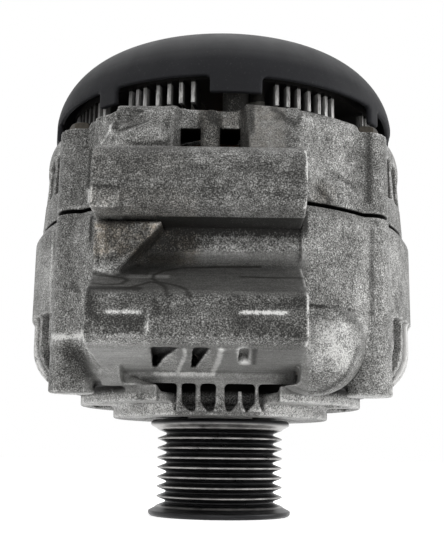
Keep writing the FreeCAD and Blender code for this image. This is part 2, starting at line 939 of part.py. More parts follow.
def make_field_winding():
    body = new_body("coil_bobbin")
    wall = dim.bobbin_wall
    inside = dim.pole_core_radius + dim.seat_clearance
    low = pole_inner_bottom + dim.seat_clearance
    high = dim.rotor_middle + dim.pole_gap_half - dim.seat_clearance
    revolve(body, "spool", [
        (inside, low),
        (dim.bobbin_flange_radius, low),
        (dim.bobbin_flange_radius, low + wall),
        (inside + wall, low + wall),
        (inside + wall, high - wall),
        (dim.bobbin_flange_radius, high - wall),
        (dim.bobbin_flange_radius, high),
        (inside, high),
    ])
    gap = dim.seat_clearance
    coil = new_body("field_coil")
    ring(coil, "wound_wire", inside + wall + gap, dim.coil_radius, low + wall + gap, high - wall - gap)


def make_fan(label, disc_low, blade_low, blade_height, count):
    """Sheet disc with leaning blades on its outer side."""
    body = new_body(label)
    bore = dim.shaft_body_radius + dim.seat_clearance
    thickness = dim.fan_disc_thickness
    ring(body, label + "_disc", bore, dim.fan_disc_radius, disc_low, disc_low + thickness)
    sketch = sketch_on(body, label + "_blade", "XY_Plane", blade_low)
    lean = tangent(dim.blade_lean)
    half = dim.fan_blade_thickness / 2
    inner, outer = dim.blade_inner_radius, dim.blade_outer_radius
    rise = (outer - inner) * lean / 2
    draw_outline(sketch, [
        (inner, -half),
        (outer, rise - half, BLADE_BEND),
        (outer, rise + half),
        (inner, half, -BLADE_BEND),
    ])
    blade = pad(body, sketch, blade_height)
    repeat_round(body, [blade], count, True)


BLADE_BEND = 40
FRONT_BLADE_COUNT = 12
REAR_BLADE_COUNT = 14


def make_slip_rings():
    body = new_body("slip_ring_carrier")
    inside = dim.ring_seat_radius + dim.seat_clearance
    ring(body, "moulded_sleeve", inside, dim.carrier_radius, dim.carrier_start, dim.carrier_end)
    bore = dim.carrier_radius + dim.seat_clearance
    heights = {"lower_slip_ring": dim.lower_ring_height, "upper_slip_ring": dim.upper_ring_height}
    for label, low in heights.items():
        body = new_body(label)
        ring(body, label + "_turned", bore, dim.slip_ring_radius, low, low + dim.slip_ring_height)


def make_stator():
    body = new_body("stator_core")
    bore = dim.rotor_radius + dim.air_gap
    ring(body, "lamination_stack", bore, dim.stator_outer_radius, stack_bottom, stack_top)
    slot = sketch_on(body, "winding_slot", "XY_Plane", stack_bottom)
    half = dim.stator_slot_width / 2
    slot_end = bore + dim.stator_slot_depth
    draw_box(slot, dim.rotor_radius - dim.air_gap, -half, slot_end, half)
    first = pocket(body, slot, dim.stack_height)
    repeat_round(body, [first], SLOT_COUNT, False)
    notches = sketch_on(body, "bolt_notches", "XY_Plane", stack_bottom)
    draw_circles(notches, [(x, y, dim.bolt_notch_radius) for x, y in column_places])
    pocket(body, notches, dim.stack_height)

    winding = new_body("stator_winding")
    gap = dim.winding_clearance
    inner = bore + dim.winding_bore_clearance
    outer = slot_end - gap
    low = stack_bottom - gap
    high = stack_top + gap
    edge = dim.end_turn_bevel
    revolve(winding, "front_end_turns", [
        (inner, low),
        (inner, low - dim.end_turn_height + edge),
        (inner + edge, low - dim.end_turn_height),
        (outer - edge, low - dim.end_turn_height),
        (outer, low - dim.end_turn_height + edge),
        (outer, low),
    ])
    bar = sketch_on(winding, "slot_bar", "XY_Plane", low)
    bar_half = half - gap
    draw_box(bar, inner + gap, -bar_half, outer - gap, bar_half)
    first = pad(winding, bar, high - low)
    repeat_round(winding, [first], SLOT_COUNT, True)
    revolve(winding, "rear_end_turns", [
        (inner, high),
        (outer, high),
        (outer, high + dim.end_turn_height - edge),
        (outer - edge, high + dim.end_turn_height),
        (inner + edge, high + dim.end_turn_height),
        (inner, high + dim.end_turn_height - edge),
    ])


SLOT_COUNT = 36


def cut_side_windows(body, name, low, high, outer):
    """Air outlets between the columns, on the two sides and the back."""
    inner = dim.cavity_radius - dim.cavity_corner_radius
    for direction, steps in WINDOW_ROWS:
        sketch = sketch_on(body, f"{name}_{direction}", "XY_Plane", low)
        for step in steps:
            angle = direction + dim.side_window_pitch * step
            window_outline(sketch, inner, outer, dim.side_window_half_width, angle)
        pocket(body, sketch, high - low)


def make_front_housing():
    """Drive-end casting with hub ring, rounded shoulder, bolt columns and the lower mounting barrel."""
    body = new_body("front_housing")
    centre = dim.shoulder_centre_radius
    drop = centre - dim.step_disc_radius
    shoulder_start = dim.shoulder_centre_height - square_root(
        dim.shoulder_radius * dim.shoulder_radius - drop * drop
    )
    revolve(body, "turned_form", [
        (dim.shaft_opening_radius, dim.hub_ring_height),
        (dim.hub_lip_radius, dim.hub_ring_height),
        (dim.hub_lip_radius, dim.hub_lip_height),
        (dim.hub_ring_radius, dim.hub_lip_height),
        (dim.hub_ring_radius, dim.step_disc_height),
        (dim.step_disc_radius, dim.step_disc_height),
        (dim.step_disc_radius, shoulder_start),
        (centre + dim.shoulder_radius, dim.shoulder_centre_height, dim.shoulder_radius),
        (centre + dim.shoulder_radius, dim.front_band_bottom),
        (dim.front_band_radius, dim.front_band_bottom),
        (dim.front_band_radius, dim.front_band_top),
        (dim.parting_radius, dim.parting_height),
        (dim.shaft_opening_radius, dim.parting_height),
    ])
    columns = sketch_on(body, "columns", "XY_Plane", dim.column_foot)
    draw_circles(columns, [(x, y, dim.column_radius) for x, y in column_places])
    pad(body, columns, dim.parting_height - dim.column_foot)
    shoulder, before = new_feature(body, "AdditiveSphere", "corner_swell")
    bind(shoulder, "Radius", dim.swell_radius)
    shoulder.AttachmentSupport = [(origin_feature(body, "XY_Plane"), "")]
    shoulder.MapMode = "FlatFace"
    for axis, length in zip("xyz", (dim.swell_x, dim.swell_y, dim.swell_height)):
        shoulder.setExpression(f".AttachmentOffset.Base.{axis}", length.formula)
    finish_feature(body, shoulder, before, True)

    above = dim.parting_height + dim.overlap
    floor_top = dim.step_disc_height + dim.step_disc_thickness
    groove(body, "cavity", [
        (dim.bearing_boss_radius, ring_floor),
        (dim.hub_ring_radius - dim.overlap * 2, ring_floor),
        (dim.hub_ring_radius - dim.overlap, floor_top),
        (dim.step_disc_radius - dim.cavity_floor_inset, floor_top),
        (dim.step_disc_radius + dim.overlap / 2, floor_top + dim.cavity_floor_rise),
        (dim.cavity_radius, dim.shoulder_centre_height - dim.cavity_bend_drop, dim.cavity_floor_bend),
        (dim.cavity_radius, stack_bottom),
        (stator_bore, stack_bottom),
        (stator_bore, above),
        (0, above),
        (0, front_bearing_top),
        (dim.bearing_boss_radius, front_bearing_top),
    ])
    seat = dim.front_bearing_radius + dim.seat_clearance
    ring_cut(body, "bearing_seat", 0, seat, dim.front_bearing_height, front_bearing_top)

    inlet = sketch_on(body, "front_inlet", "XY_Plane", dim.inlet_sill_height)
    far = dim.block_foot_y
    near = dim.underside_back_y
    draw_outline(inlet, [
        polar(dim.inlet_inner_radius, dim.inlet_start_angle),
        (dim.inlet_left, near),
        (dim.inlet_left, far),
        (dim.inlet_right, far),
        (dim.inlet_right, near),
        polar(dim.inlet_inner_radius, dim.inlet_end_angle),
    ])
    pocket(body, inlet, dim.block_floor_top - dim.inlet_sill_height)
    undercut = sketch_on(body, "undercut", "XY_Plane", dim.undercut_height)
    draw_box(undercut, dim.undercut_left, far, dim.inlet_left, near)
    draw_box(undercut, dim.inlet_right, far, block_right, near)
    pocket(body, undercut, dim.block_floor_top - dim.undercut_height)

    barrel_front = dim.barrel_y - dim.lower_barrel_radius
    valley_floor = dim.facet_back_height + dim.valley_wall_rise
    side = sketch_on(body, "lower_block", "YZ_Plane", dim.block_left)
    draw_outline(side, [
        (dim.lip_y, dim.lip_height),
        (dim.underside_back_y, dim.underside_back_height),
        (dim.underside_front_y, dim.underside_front_height),
        (dim.block_foot_y, dim.block_foot_height),
        (barrel_front, dim.lower_barrel_height, -dim.barrel_foot_bend),
        (dim.facet_front_y, dim.facet_front_height, -dim.lower_barrel_radius),
        (dim.facet_back_y, dim.facet_back_height),
        (dim.valley_wall_y, valley_floor),
        (dim.valley_wall_y, dim.parting_height),
        (dim.lip_y, dim.parting_height),
    ])
    pad(body, side, dim.block_width)
    valley = sketch_on(body, "valley", "YZ_Plane", dim.block_left)
    beyond = barrel_front - dim.cut_allowance
    draw_outline(valley, [
        (dim.facet_front_y, dim.facet_front_height),
        (dim.facet_back_y, dim.facet_back_height),
        (dim.valley_wall_y, valley_floor),
        (dim.valley_wall_y, above),
        (beyond, above),
        (beyond, dim.facet_front_height),
    ])
    pocket(body, valley, dim.block_width)
    gusset = sketch_on(body, "gusset", "XZ_Plane", -dim.valley_wall_y - dim.overlap)
    gusset_top = dim.upper_barrel_height - dim.upper_barrel_radius - dim.overhang_clearance
    draw_outline(gusset, [
        (dim.block_left, dim.facet_front_height - dim.overlap * 2),
        (dim.gusset_foot_x, dim.facet_back_height - dim.overlap * 2),
        (dim.gusset_top_x, gusset_top),
        (dim.block_left, gusset_top),
    ])
    pad(body, gusset, dim.gusset_depth)

    groove(body, "upper_cavity", [
        (0, dim.block_floor_top),
        (dim.cavity_radius - dim.block_floor_corner, dim.block_floor_top),
        (dim.cavity_radius, dim.block_floor_top + dim.block_floor_corner),
        (dim.cavity_radius, stack_bottom),
        (stator_bore, stack_bottom),
        (stator_bore, above),
        (0, above),
    ])
    foot = dim.inlet_sill_height - dim.overlap / 2
    waist = dim.inlet_sill_height + dim.rib_flare_height
    for number, (middle, half, left_reach, right_reach, drop) in enumerate(INLET_RIBS):
        rib = sketch_on(body, f"inlet_rib_{number}", "XZ_Plane", -dim.inlet_rib_back_y)
        top = dim.inlet_rib_top - drop
        draw_outline(rib, [
            (middle - left_reach, foot),
            (middle + right_reach, foot),
            (middle + half, waist),
            (middle + half, top),
            (middle - half, top),
            (middle - half, waist),
        ])
        pad(body, rib, dim.inlet_rib_back_y - dim.lip_y)

    window_reach = dim.front_band_radius + dim.cut_allowance
    cut_side_windows(body, "side_windows", dim.front_window_bottom, dim.front_window_top, window_reach)
    floor_windows = sketch_on(body, "floor_windows", "XY_Plane", dim.step_disc_height)
    half_angle = dim.floor_window_half_angle
    for angle in FLOOR_WINDOW_ANGLES:
        start = angle - half_angle
        end = angle + half_angle
        sector_outline(floor_windows, dim.floor_window_inner, dim.floor_window_outer, start, end)
    pocket(body, floor_windows, dim.step_disc_thickness)
    under_low = dim.underside_back_height - dim.overlap
    under = sketch_on(body, "under_windows", "XY_Plane", under_low)
    for corners in UNDER_WINDOWS:
        draw_outline(under, corners)
    right = dim.blind_recess_x + dim.blind_recess_width
    draw_box(under, dim.blind_recess_x, dim.under_window_front_y, right, dim.blind_recess_back_y)
    pocket(body, under, dim.under_window_top - under_low)
    bars = sketch_on(body, "crest_bars", "XZ_Plane", -barrel_front - dim.crest_bar_proud)
    low = dim.lower_barrel_height - dim.crest_bar_height / 2
    for bar_x, width in ((dim.left_bar_x, dim.left_bar_width), (dim.right_bar_x, dim.right_bar_width)):
        draw_box(bars, bar_x, low, bar_x + width, low + dim.crest_bar_height)
    pad(body, bars, dim.crest_bar_proud * 2)

    bolts = sketch_on(body, "bolt_holes", "XY_Plane", dim.bolt_hole_foot)
    draw_circles(bolts, [(x, y, bolt_hole_radius) for x, y in column_places])
    pocket(body, bolts, dim.parting_height - dim.bolt_hole_foot)
    screws = sketch_on(body, "retainer_holes", "XY_Plane", front_bearing_top)
    radius = dim.small_screw_radius + dim.seat_clearance
    draw_circles(screws, [(x, y, radius) for x, y in retainer_screw_places])
    pocket(body, screws, dim.retainer_screw_depth, forwards=False)
    bore = sketch_on(body, "lower_mount_bore", "YZ_Plane", dim.block_left)
    draw_circles(bore, [(dim.barrel_y, dim.lower_barrel_height, dim.mount_bore_radius)])
    pocket(body, bore, dim.block_width)


FLOOR_WINDOW_ANGLES = range(-30, 211, 30)
# Middle, half width, reach of the foot to the left and to the right, and how far the top is lowered
INLET_RIBS = [
    (-14.1, 0.9, 0.9, 3.7, 0),
    (-7.6, 0.9, 0.9, 3.3, 0),
    (-0.1, 1.6, 2.2, 2.2, 0),
    (6.7, 0.7, 3.3, 1.9, 3.2),
    (12.4, 0.7, 3.4, 2, 0.8),
]
# Corners of the tapered openings in the block's underside
under_front = dim.under_window_front_y
UNDER_WINDOWS = [
    [(-20.6, under_front), (-12.9, under_front), (-18.1, -69), (-22, -48.4), (-22.8, -48.4)],
    [(-8.2, under_front), (-3.5, under_front), (-8.6, -52), (-9.8, -52)],
]


def make_rear_housing():
    """Rear casting with the upper mounting barrel, bolt ears, air windows and the rear bearing boss."""
    body = new_body("rear_housing")
    bore = dim.rear_bearing_radius + dim.rear_sleeve_wall + dim.seat_clearance * 2
    plate_bottom = dim.rear_plate_top - dim.rear_plate_thickness
    gap_top = dim.parting_height + dim.parting_gap
    gap_radius = dim.parting_radius - dim.parting_gap_depth
    revolve(body, "turned_shell", [
        (bore, dim.parting_height),
        (gap_radius, dim.parting_height),
        (gap_radius, gap_top),
        (dim.parting_radius, gap_top),
        (dim.rear_waist_radius, dim.rear_waist_height),
        (dim.rear_rim_radius, dim.rear_rim_top, dim.rear_shoulder_bend),
        (dim.rear_rim_radius - dim.rear_rim_width, dim.rear_rim_top),
        (dim.rear_rim_radius - dim.rear_rim_width - dim.rear_rim_slope, dim.rear_plate_top),
        (bore, dim.rear_plate_top),
    ])
    columns = sketch_on(body, "ears", "XY_Plane", gap_top)
    draw_circles(columns, [(x, y, dim.column_radius) for x, y in column_places])
    pad(body, columns, dim.column_top - gap_top)

    inside = dim.recess_wall_y + dim.boss_depth
    barrel_low = dim.upper_barrel_height - dim.upper_barrel_radius
    barrel_top = dim.upper_barrel_height + dim.upper_barrel_radius
    overhang_y = dim.valley_wall_y - dim.overhang_clearance
    side = sketch_on(body, "upper_block", "YZ_Plane", dim.block_left)
    draw_outline(side, [
        (inside, dim.parting_height),
        (overhang_y, dim.parting_height),
        (overhang_y, barrel_low),
        (dim.barrel_y, barrel_low),
        (dim.barrel_y - dim.upper_barrel_radius, dim.upper_barrel_height, -dim.upper_barrel_radius),
        (dim.barrel_y, barrel_top, -dim.upper_barrel_radius),
        (inside, barrel_top),
    ])
    pad(body, side, dim.block_width)
    boss_corners = [
        (inside, dim.upper_barrel_height),
        (dim.boss_front_y, dim.upper_barrel_height),
        (dim.boss_front_y, barrel_top - dim.overlap),
        (dim.boss_top_y, dim.rear_rim_top - dim.boss_top_chamfer),
        (dim.boss_top_y + dim.boss_top_chamfer, dim.rear_rim_top),
        (inside, dim.rear_rim_top),
    ]
    for name, start, width in (
        ("left_boss", dim.left_boss_x, dim.left_boss_width),
        ("right_boss", dim.right_boss_left, dim.right_boss_width),
    ):
        sketch = sketch_on(body, name, "YZ_Plane", start)
        draw_outline(sketch, boss_corners)
        pad(body, sketch, width)
    webs = sketch_on(body, "boss_webs", "XY_Plane", dim.upper_barrel_height)
    for side_x, reach in ((dim.left_boss_x, -dim.boss_web_reach), (block_right, dim.boss_web_reach)):
        draw_outline(webs, [
            (side_x, dim.boss_web_front_y),
            (side_x + reach, dim.boss_web_back_y),
            (side_x, inside),
        ])
    pad(body, webs, dim.boss_web_top - dim.upper_barrel_height)
    corner = sketch_on(body, "corner_pad", "XY_Plane", barrel_low)
    proud = dim.barrel_y - dim.corner_pad_proud
    draw_box(corner, dim.block_left, proud, dim.block_left + dim.corner_pad_width, dim.barrel_y)
    pad(body, corner, dim.corner_pad_top - barrel_low)
    groove(body, "rear_cavity", [
        (0, dim.parting_height),
        (stator_bore, dim.parting_height),
        (stator_bore, stack_top),
        (dim.cavity_radius, stack_top),
        (dim.cavity_radius, dim.rear_waist_height - dim.overlap * 2),
        (dim.cavity_radius - dim.rear_cavity_bevel, plate_bottom),
        (0, plate_bottom),
    ])
    revolve(body, "bearing_boss", [
        (bore, dim.rear_boss_foot),
        (dim.rear_boss_radius, dim.rear_boss_foot),
        (dim.rear_boss_radius, dim.rear_boss_top),
        (dim.rear_lip_radius, dim.rear_boss_top),
        (dim.rear_lip_radius, rear_bearing_top + dim.seat_clearance),
        (bore, rear_bearing_top + dim.seat_clearance),
    ])
    recess = sketch_on(body, "boss_recess", "XY_Plane", dim.recess_floor_height)
    draw_outline(recess, [
        (dim.left_boss_x + dim.left_boss_width, dim.recess_wall_y),
        (dim.recess_left_front_x, dim.boss_front_y),
        (dim.recess_left_front_x, dim.block_foot_y),
        (dim.recess_right_front_x, dim.block_foot_y),
        (dim.recess_right_front_x, dim.boss_front_y),
        (dim.right_boss_left, dim.recess_wall_y),
    ])
    pocket(body, recess, dim.rear_rim_top - dim.recess_floor_height)
    rib_foot = dim.recess_floor_height - dim.overlap
    rib = sketch_on(body, "recess_rib", "XY_Plane", rib_foot)
    rib_x = (dim.rear_opening_left_x + dim.rear_opening_width + dim.rear_opening_right_x) / 2
    draw_circles(rib, [(rib_x, dim.recess_wall_y, dim.recess_rib_radius)])
    pad(body, rib, dim.recess_rib_top - rib_foot)
    openings = sketch_on(body, "rear_openings", "XZ_Plane", -dim.recess_wall_y - dim.rear_opening_start)
    low = dim.rear_opening_bottom
    for start in (dim.rear_opening_left_x, dim.rear_opening_right_x):
        draw_box(openings, start, low, start + dim.rear_opening_width, dim.rear_opening_top)
    pocket(body, openings, dim.rear_opening_depth)

    window_reach = dim.parting_radius + dim.cut_allowance
    cut_side_windows(body, "rear_windows", dim.rear_window_bottom, dim.rear_window_top, window_reach)
    inlets = sketch_on(body, "rear_inlets", "XY_Plane", plate_bottom)
    half_angle = dim.rear_inlet_half_angle
    pitch = FULL_TURN / REAR_INLET_COUNT
    for number in range(REAR_INLET_COUNT):
        middle = pitch * number + pitch / 2
        start = middle - half_angle
        sector_outline(inlets, dim.rear_inlet_inner, dim.rear_inlet_outer, start, middle + half_angle)
    pocket(body, inlets, dim.rear_plate_thickness)

    posts = sketch_on(body, "posts", "XY_Plane", dim.rear_plate_top)
    radius = dim.post_radius
    draw_circles(posts, [(x, y, radius) for x, y in rectifier_screw_places])
    pad(body, posts, dim.negative_plate_height - dim.rear_plate_top)
    supports = sketch_on(body, "regulator_posts", "XY_Plane", dim.rear_plate_top)
    draw_circles(supports, [(x, y, radius) for x, y in regulator_screw_places])
    pad(body, supports, dim.regulator_foot - dim.rear_plate_top)
    tall_posts = sketch_on(body, "cover_posts", "XY_Plane", dim.rear_plate_top)
    draw_circles(tall_posts, [(x, y, radius) for x, y in cover_post_places])
    pad(body, tall_posts, dim.cover_boss_foot - dim.rear_plate_top)
    peg = sketch_on(body, "cover_peg", "XY_Plane", dim.cover_boss_foot)
    draw_circles(peg, [(*cover_peg_place, dim.small_screw_radius)])
    pad(body, peg, dim.peg_length)
    holes = sketch_on(body, "post_holes", "XY_Plane", plate_bottom)
    hole = dim.small_screw_radius + dim.seat_clearance
    screwed = rectifier_screw_places + regulator_screw_places + cover_screw_places
    draw_circles(holes, [(x, y, hole) for x, y in screwed])
    pocket(body, holes, dim.cover_boss_foot - plate_bottom)

    spot_faces = sketch_on(body, "spot_faces", "XY_Plane", dim.column_top)
    draw_circles(spot_faces, [(x, y, dim.spot_face_radius) for x, y in column_places])
    pocket(body, spot_faces, dim.rear_rim_top - dim.column_top)
    bolts = sketch_on(body, "bolt_holes_rear", "XY_Plane", dim.parting_height)
    draw_circles(bolts, [(x, y, bolt_hole_radius) for x, y in column_places])
    pocket(body, bolts, dim.column_top - dim.parting_height)
    mount = sketch_on(body, "upper_mount_bore", "YZ_Plane", dim.block_left)
    draw_circles(mount, [(dim.barrel_y, dim.upper_barrel_height, dim.mount_bore_radius)])
    pocket(body, mount, dim.block_width)


REAR_INLET_COUNT = 8


def make_housing_fasteners():
    bolts = []
    length = dim.column_top - dim.bolt_foot
    washer_radius = dim.bolt_washer_radius
    washer_height = dim.bolt_washer_height
    head_height = dim.bolt_head_height
    head_low = dim.column_top + washer_height
    dome_centre = head_low + head_height - dim.bolt_head_dome
    for number, (x, y) in enumerate(column_places):
        shank = cylinder(f"bolt_shank_{number}", dim.through_bolt_radius, length, x, y, dim.bolt_foot)
        washer = cylinder(f"bolt_washer_{number}", washer_radius, washer_height, x, y, dim.column_top)
        prism = hexagon(f"bolt_prism_{number}", dim.bolt_head_radius, head_height, x, y, head_low)
        dome = sphere(f"bolt_dome_{number}", dim.bolt_head_dome, x, y, dome_centre)
        head = common(f"bolt_head_{number}", prism, dome)
        bolts.append(fused(f"through_bolt_{number}", [shank, washer, head]))
    group("through_bolts", bolts)

    body = new_body("front_bearing_retainer")
    high = front_bearing_top + dim.retainer_thickness
    outer = dim.bearing_boss_radius - dim.overlap
    ring(body, "retainer_plate", dim.shaft_opening_radius, outer, front_bearing_top, high)
    holes = sketch_on(body, "plate_holes", "XY_Plane", front_bearing_top)
    radius = dim.small_screw_radius + dim.seat_clearance
    draw_circles(holes, [(x, y, radius) for x, y in retainer_screw_places])
    pocket(body, holes, dim.retainer_thickness)
    foot = front_bearing_top - dim.retainer_screw_depth + dim.overlap
    small_screws("retainer_screws", retainer_screw_places, foot, high)

    inner = dim.rear_bearing_radius + dim.seat_clearance
    sleeve = new_body("rear_bearing_sleeve")
    outer = inner + dim.rear_sleeve_wall
    ring(sleeve, "sleeve_wall", inner, outer, dim.rear_bearing_height, rear_bearing_top)


def small_screws(label, places, foot, seat, head_radius=dim.small_screw_head_radius):
    """Pan-head screws that share a node, from their foot to the face under their heads."""
    screws = []
    for number, (x, y) in enumerate(places):
        shank = cylinder(f"{label}_shank_{number}", dim.small_screw_radius, seat - foot, x, y, foot)
        head = cylinder(f"{label}_head_{number}", head_radius, dim.small_screw_head_height, x, y, seat)
        screws.append(fused(f"{label}_{number}", [shank, head]))
    group(label, screws)


def make_cover():
    """Moulded dome with a castellated rim, top vents, screw bosses and cut-outs for the terminals."""
    body = new_body("rear_cover")
    wall = dim.cover_wall
    outside = [
        (dim.cover_radius, dim.cover_rim_height),
        (dim.cover_radius, dim.cover_dome_start),
        (dim.cover_crown_radius, dim.cover_crown_height, dim.cover_dome_bend),
        (0, dim.cover_top),
    ]
    revolve(body, "dome", [(dim.cover_radius - wall, dim.cover_rim_height)] + outside + [
        (0, dim.cover_top - wall),
        (dim.cover_crown_radius, dim.cover_crown_height - wall),
        (dim.cover_radius - wall, dim.cover_dome_start, wall - dim.cover_dome_bend),
    ])
    bosses = sketch_on(body, "screw_bosses", "XY_Plane", dim.cover_boss_foot)
    draw_circles(bosses, [(x, y, dim.cover_boss_radius) for x, y in cover_post_places])
    above = dim.cover_top + dim.overlap * 2
    pad(body, bosses, above - dim.cover_boss_foot)
    beyond = dim.cover_radius + dim.cover_boss_radius
    trim_top = above + dim.overlap
    groove(body, "dome_trim", outside + [(0, trim_top), (beyond, trim_top), (beyond, dim.cover_rim_height)])
    recesses = sketch_on(body, "screw_recesses", "XY_Plane", dim.cover_screw_floor)
    draw_circles(recesses, [(x, y, dim.screw_recess_radius) for x, y in cover_screw_places])
    pocket(body, recesses, above - dim.cover_screw_floor)
    holes = sketch_on(body, "screw_holes", "XY_Plane", dim.cover_boss_foot)
    radius = dim.small_screw_radius + dim.seat_clearance
    draw_circles(holes, [(x, y, radius) for x, y in cover_screw_places])
    pocket(body, holes, dim.cover_screw_floor - dim.cover_boss_foot)
    peg_hole = sketch_on(body, "peg_hole", "XY_Plane", dim.cover_boss_foot)
    draw_circles(peg_hole, [(*cover_peg_place, radius)])
    pocket(body, peg_hole, dim.peg_length + dim.cover_gap)
    collar_hole = sketch_on(body, "collar_hole", "XY_Plane", dim.cover_screw_floor)
    draw_circles(collar_hole, [(dim.output_stud_x, dim.output_stud_y, dim.collar_radius + dim.cover_gap)])
    pocket(body, collar_hole, above - dim.cover_screw_floor)

    slots = sketch_on(body, "rim_slots", "XY_Plane", dim.cover_rim_height)
    for start, end in RIM_SLOT_ANGLES:
        inner = dim.cover_radius - dim.cover_slot_inside
        sector_outline(slots, inner, dim.cover_radius + dim.cover_slot_outside, start, end)
    pocket(body, slots, dim.cover_slot_top - dim.cover_rim_height)
    socket = sketch_on(body, "socket_opening", "XY_Plane", dim.cover_rim_height)
    half = dim.socket_half_width + dim.cover_gap
    draw_box(socket, -half, dim.regulator_end_y, half, dim.cover_radius + dim.cut_allowance)
    pocket(body, socket, dim.socket_top + dim.cover_gap - dim.cover_rim_height)
    vent = sketch_on(body, "top_vent", "XY_Plane", dim.cover_crown_height - wall * 2)
    draw_box(vent, dim.vent_inner, -dim.vent_half_width, dim.vent_outer, dim.vent_half_width)
    first = pocket(body, vent, above - dim.cover_crown_height + wall * 2)
    repeat_round(body, [first], VENT_COUNT, False)
    small_screws(
        "cover_screws", cover_screw_places, dim.negative_plate_height, dim.cover_screw_floor,
        head_radius=dim.cover_screw_head_radius,
    )


VENT_COUNT = 16
RIM_SLOT_ANGLES = [
    (-165, -131.2),
    (-124.4, -94.3),
    (-78.9, -37.3),
    (-32, -2),
    (8, 38),
    (46, 70),
    (110, 134),
    (142, 172),
]


def cut_plate_opening(body, name, low, thickness):
    """Take out the wedge of a round plate that leaves room for the regulator."""
    sketch = sketch_on(body, name, "XY_Plane", low)
    reach = dim.cover_radius * 2
    start = REAR_DIRECTION - dim.plate_opening_half_angle
    end = REAR_DIRECTION + dim.plate_opening_half_angle
    draw_outline(sketch, [(0, 0), polar(reach, start), polar(reach, end)])
    pocket(body, sketch, thickness)


def make_rectifier():
    """Two heat-sink plates with press-fit diodes, the finned one above, and a moulded terminal plate."""
    screw_hole = dim.small_screw_radius + dim.seat_clearance
    negative = new_body("rectifier_negative_plate")
    low = dim.negative_plate_height
    thickness = dim.negative_plate_thickness
    ring(negative, "negative_disc", dim.plate_inner_radius, dim.negative_plate_outer, low, low + thickness)
    cut_plate_opening(negative, "negative_opening", low, thickness)
    holes = sketch_on(negative, "negative_holes", "XY_Plane", low)
    draw_circles(holes, [(x, y, screw_hole) for x, y in rectifier_screw_places])
    pocket(negative, holes, thickness)

    positive = new_body("rectifier_positive_plate")
    low = dim.positive_plate_height
    thickness = dim.positive_plate_thickness
    high = low + thickness
    ring(positive, "positive_disc", dim.plate_inner_radius, dim.fin_outer_radius, low, high)
    for run, (start, count, pitch) in enumerate(FIN_RUNS):
        fins = sketch_on(positive, f"fins_{run}", "XY_Plane", dim.fin_foot)
        for number in range(count):
            angle = start + pitch * number
            window_outline(fins, dim.fin_inner_radius, dim.fin_outer_radius, dim.fin_thickness / 2, angle)
        pad(positive, fins, low - dim.fin_foot)
    cut_plate_opening(positive, "positive_opening", low, thickness)
    notches = sketch_on(positive, "post_notches", "XY_Plane", low)
    draw_circles(notches, [(x, y, dim.post_radius + dim.cover_gap) for x, y in cover_post_places])
    pocket(positive, notches, thickness)
    holes = sketch_on(positive, "positive_holes", "XY_Plane", low)
    stud_hole = (dim.output_stud_x, dim.output_stud_y, dim.output_shank_radius + dim.seat_clearance)
    draw_circles(holes, [(x, y, screw_hole) for x, y in rectifier_screw_places] + [stud_hole])
    pocket(positive, holes, thickness)

    spacers = []
    spacer_low = dim.negative_plate_height + dim.negative_plate_thickness
    for number, (x, y) in enumerate(rectifier_screw_places):
        spacers.append(tube(f"spacer_{number}", screw_hole, dim.post_radius, spacer_low, low, x, y))
    group("rectifier_spacers", spacers)

    diodes = []
    lead = dim.diode_lead_radius
    for number, angle in enumerate(NEGATIVE_DIODE_ANGLES):
        x, y = polar(dim.diode_circle, angle)
        can = cylinder(f"negative_can_{number}", dim.diode_radius, dim.diode_height, x, y, spacer_low)
        pin_low = spacer_low + dim.diode_height
        pin = cylinder(f"negative_pin_{number}", lead, low - pin_low, x, y, pin_low)
        diodes.append(fused(f"negative_diode_{number}", [can, pin]))
    for number, angle in enumerate(POSITIVE_DIODE_ANGLES):
        x, y = polar(dim.diode_circle, angle)
        can_low = low - dim.diode_height
        can = cylinder(f"positive_can_{number}", dim.diode_radius, dim.diode_height, x, y, can_low)
        pin = cylinder(f"positive_pin_{number}", lead, can_low - spacer_low, x, y, spacer_low)
        diodes.append(fused(f"positive_diode_{number}", [can, pin]))
    group("rectifier_diodes", diodes)

    terminal = new_body("rectifier_terminal_plate")
    thickness = dim.terminal_plate_thickness
    inner = dim.terminal_plate_inner
    ring(terminal, "terminal_disc", inner, dim.terminal_plate_outer, high, high + thickness)
    cut_plate_opening(terminal, "terminal_opening", high, thickness)
    holes = sketch_on(terminal, "terminal_holes", "XY_Plane", high)
    collar_hole = (dim.output_stud_x, dim.output_stud_y, dim.collar_radius + dim.cover_gap)
    draw_circles(holes, [(x, y, screw_hole) for x, y in rectifier_screw_places] + [collar_hole])
    pocket(terminal, holes, thickness)
    small_screws("rectifier_screws", rectifier_screw_places, dim.rear_plate_top, high + thickness)


# Angle of the first fin, how many follow each other and how far apart they are
FIN_RUNS = [
    (-123.5, 3, 3),
    (-112.6, 4, 4.1),
    (-72.4, 4, 4),
    (-56.1, 3, 3.1),
    (-156, 7, 3.3),
    (-30, 7, 3.3),
    (30.5, 7, 3.75),
    (140, 4, 3.75),
]


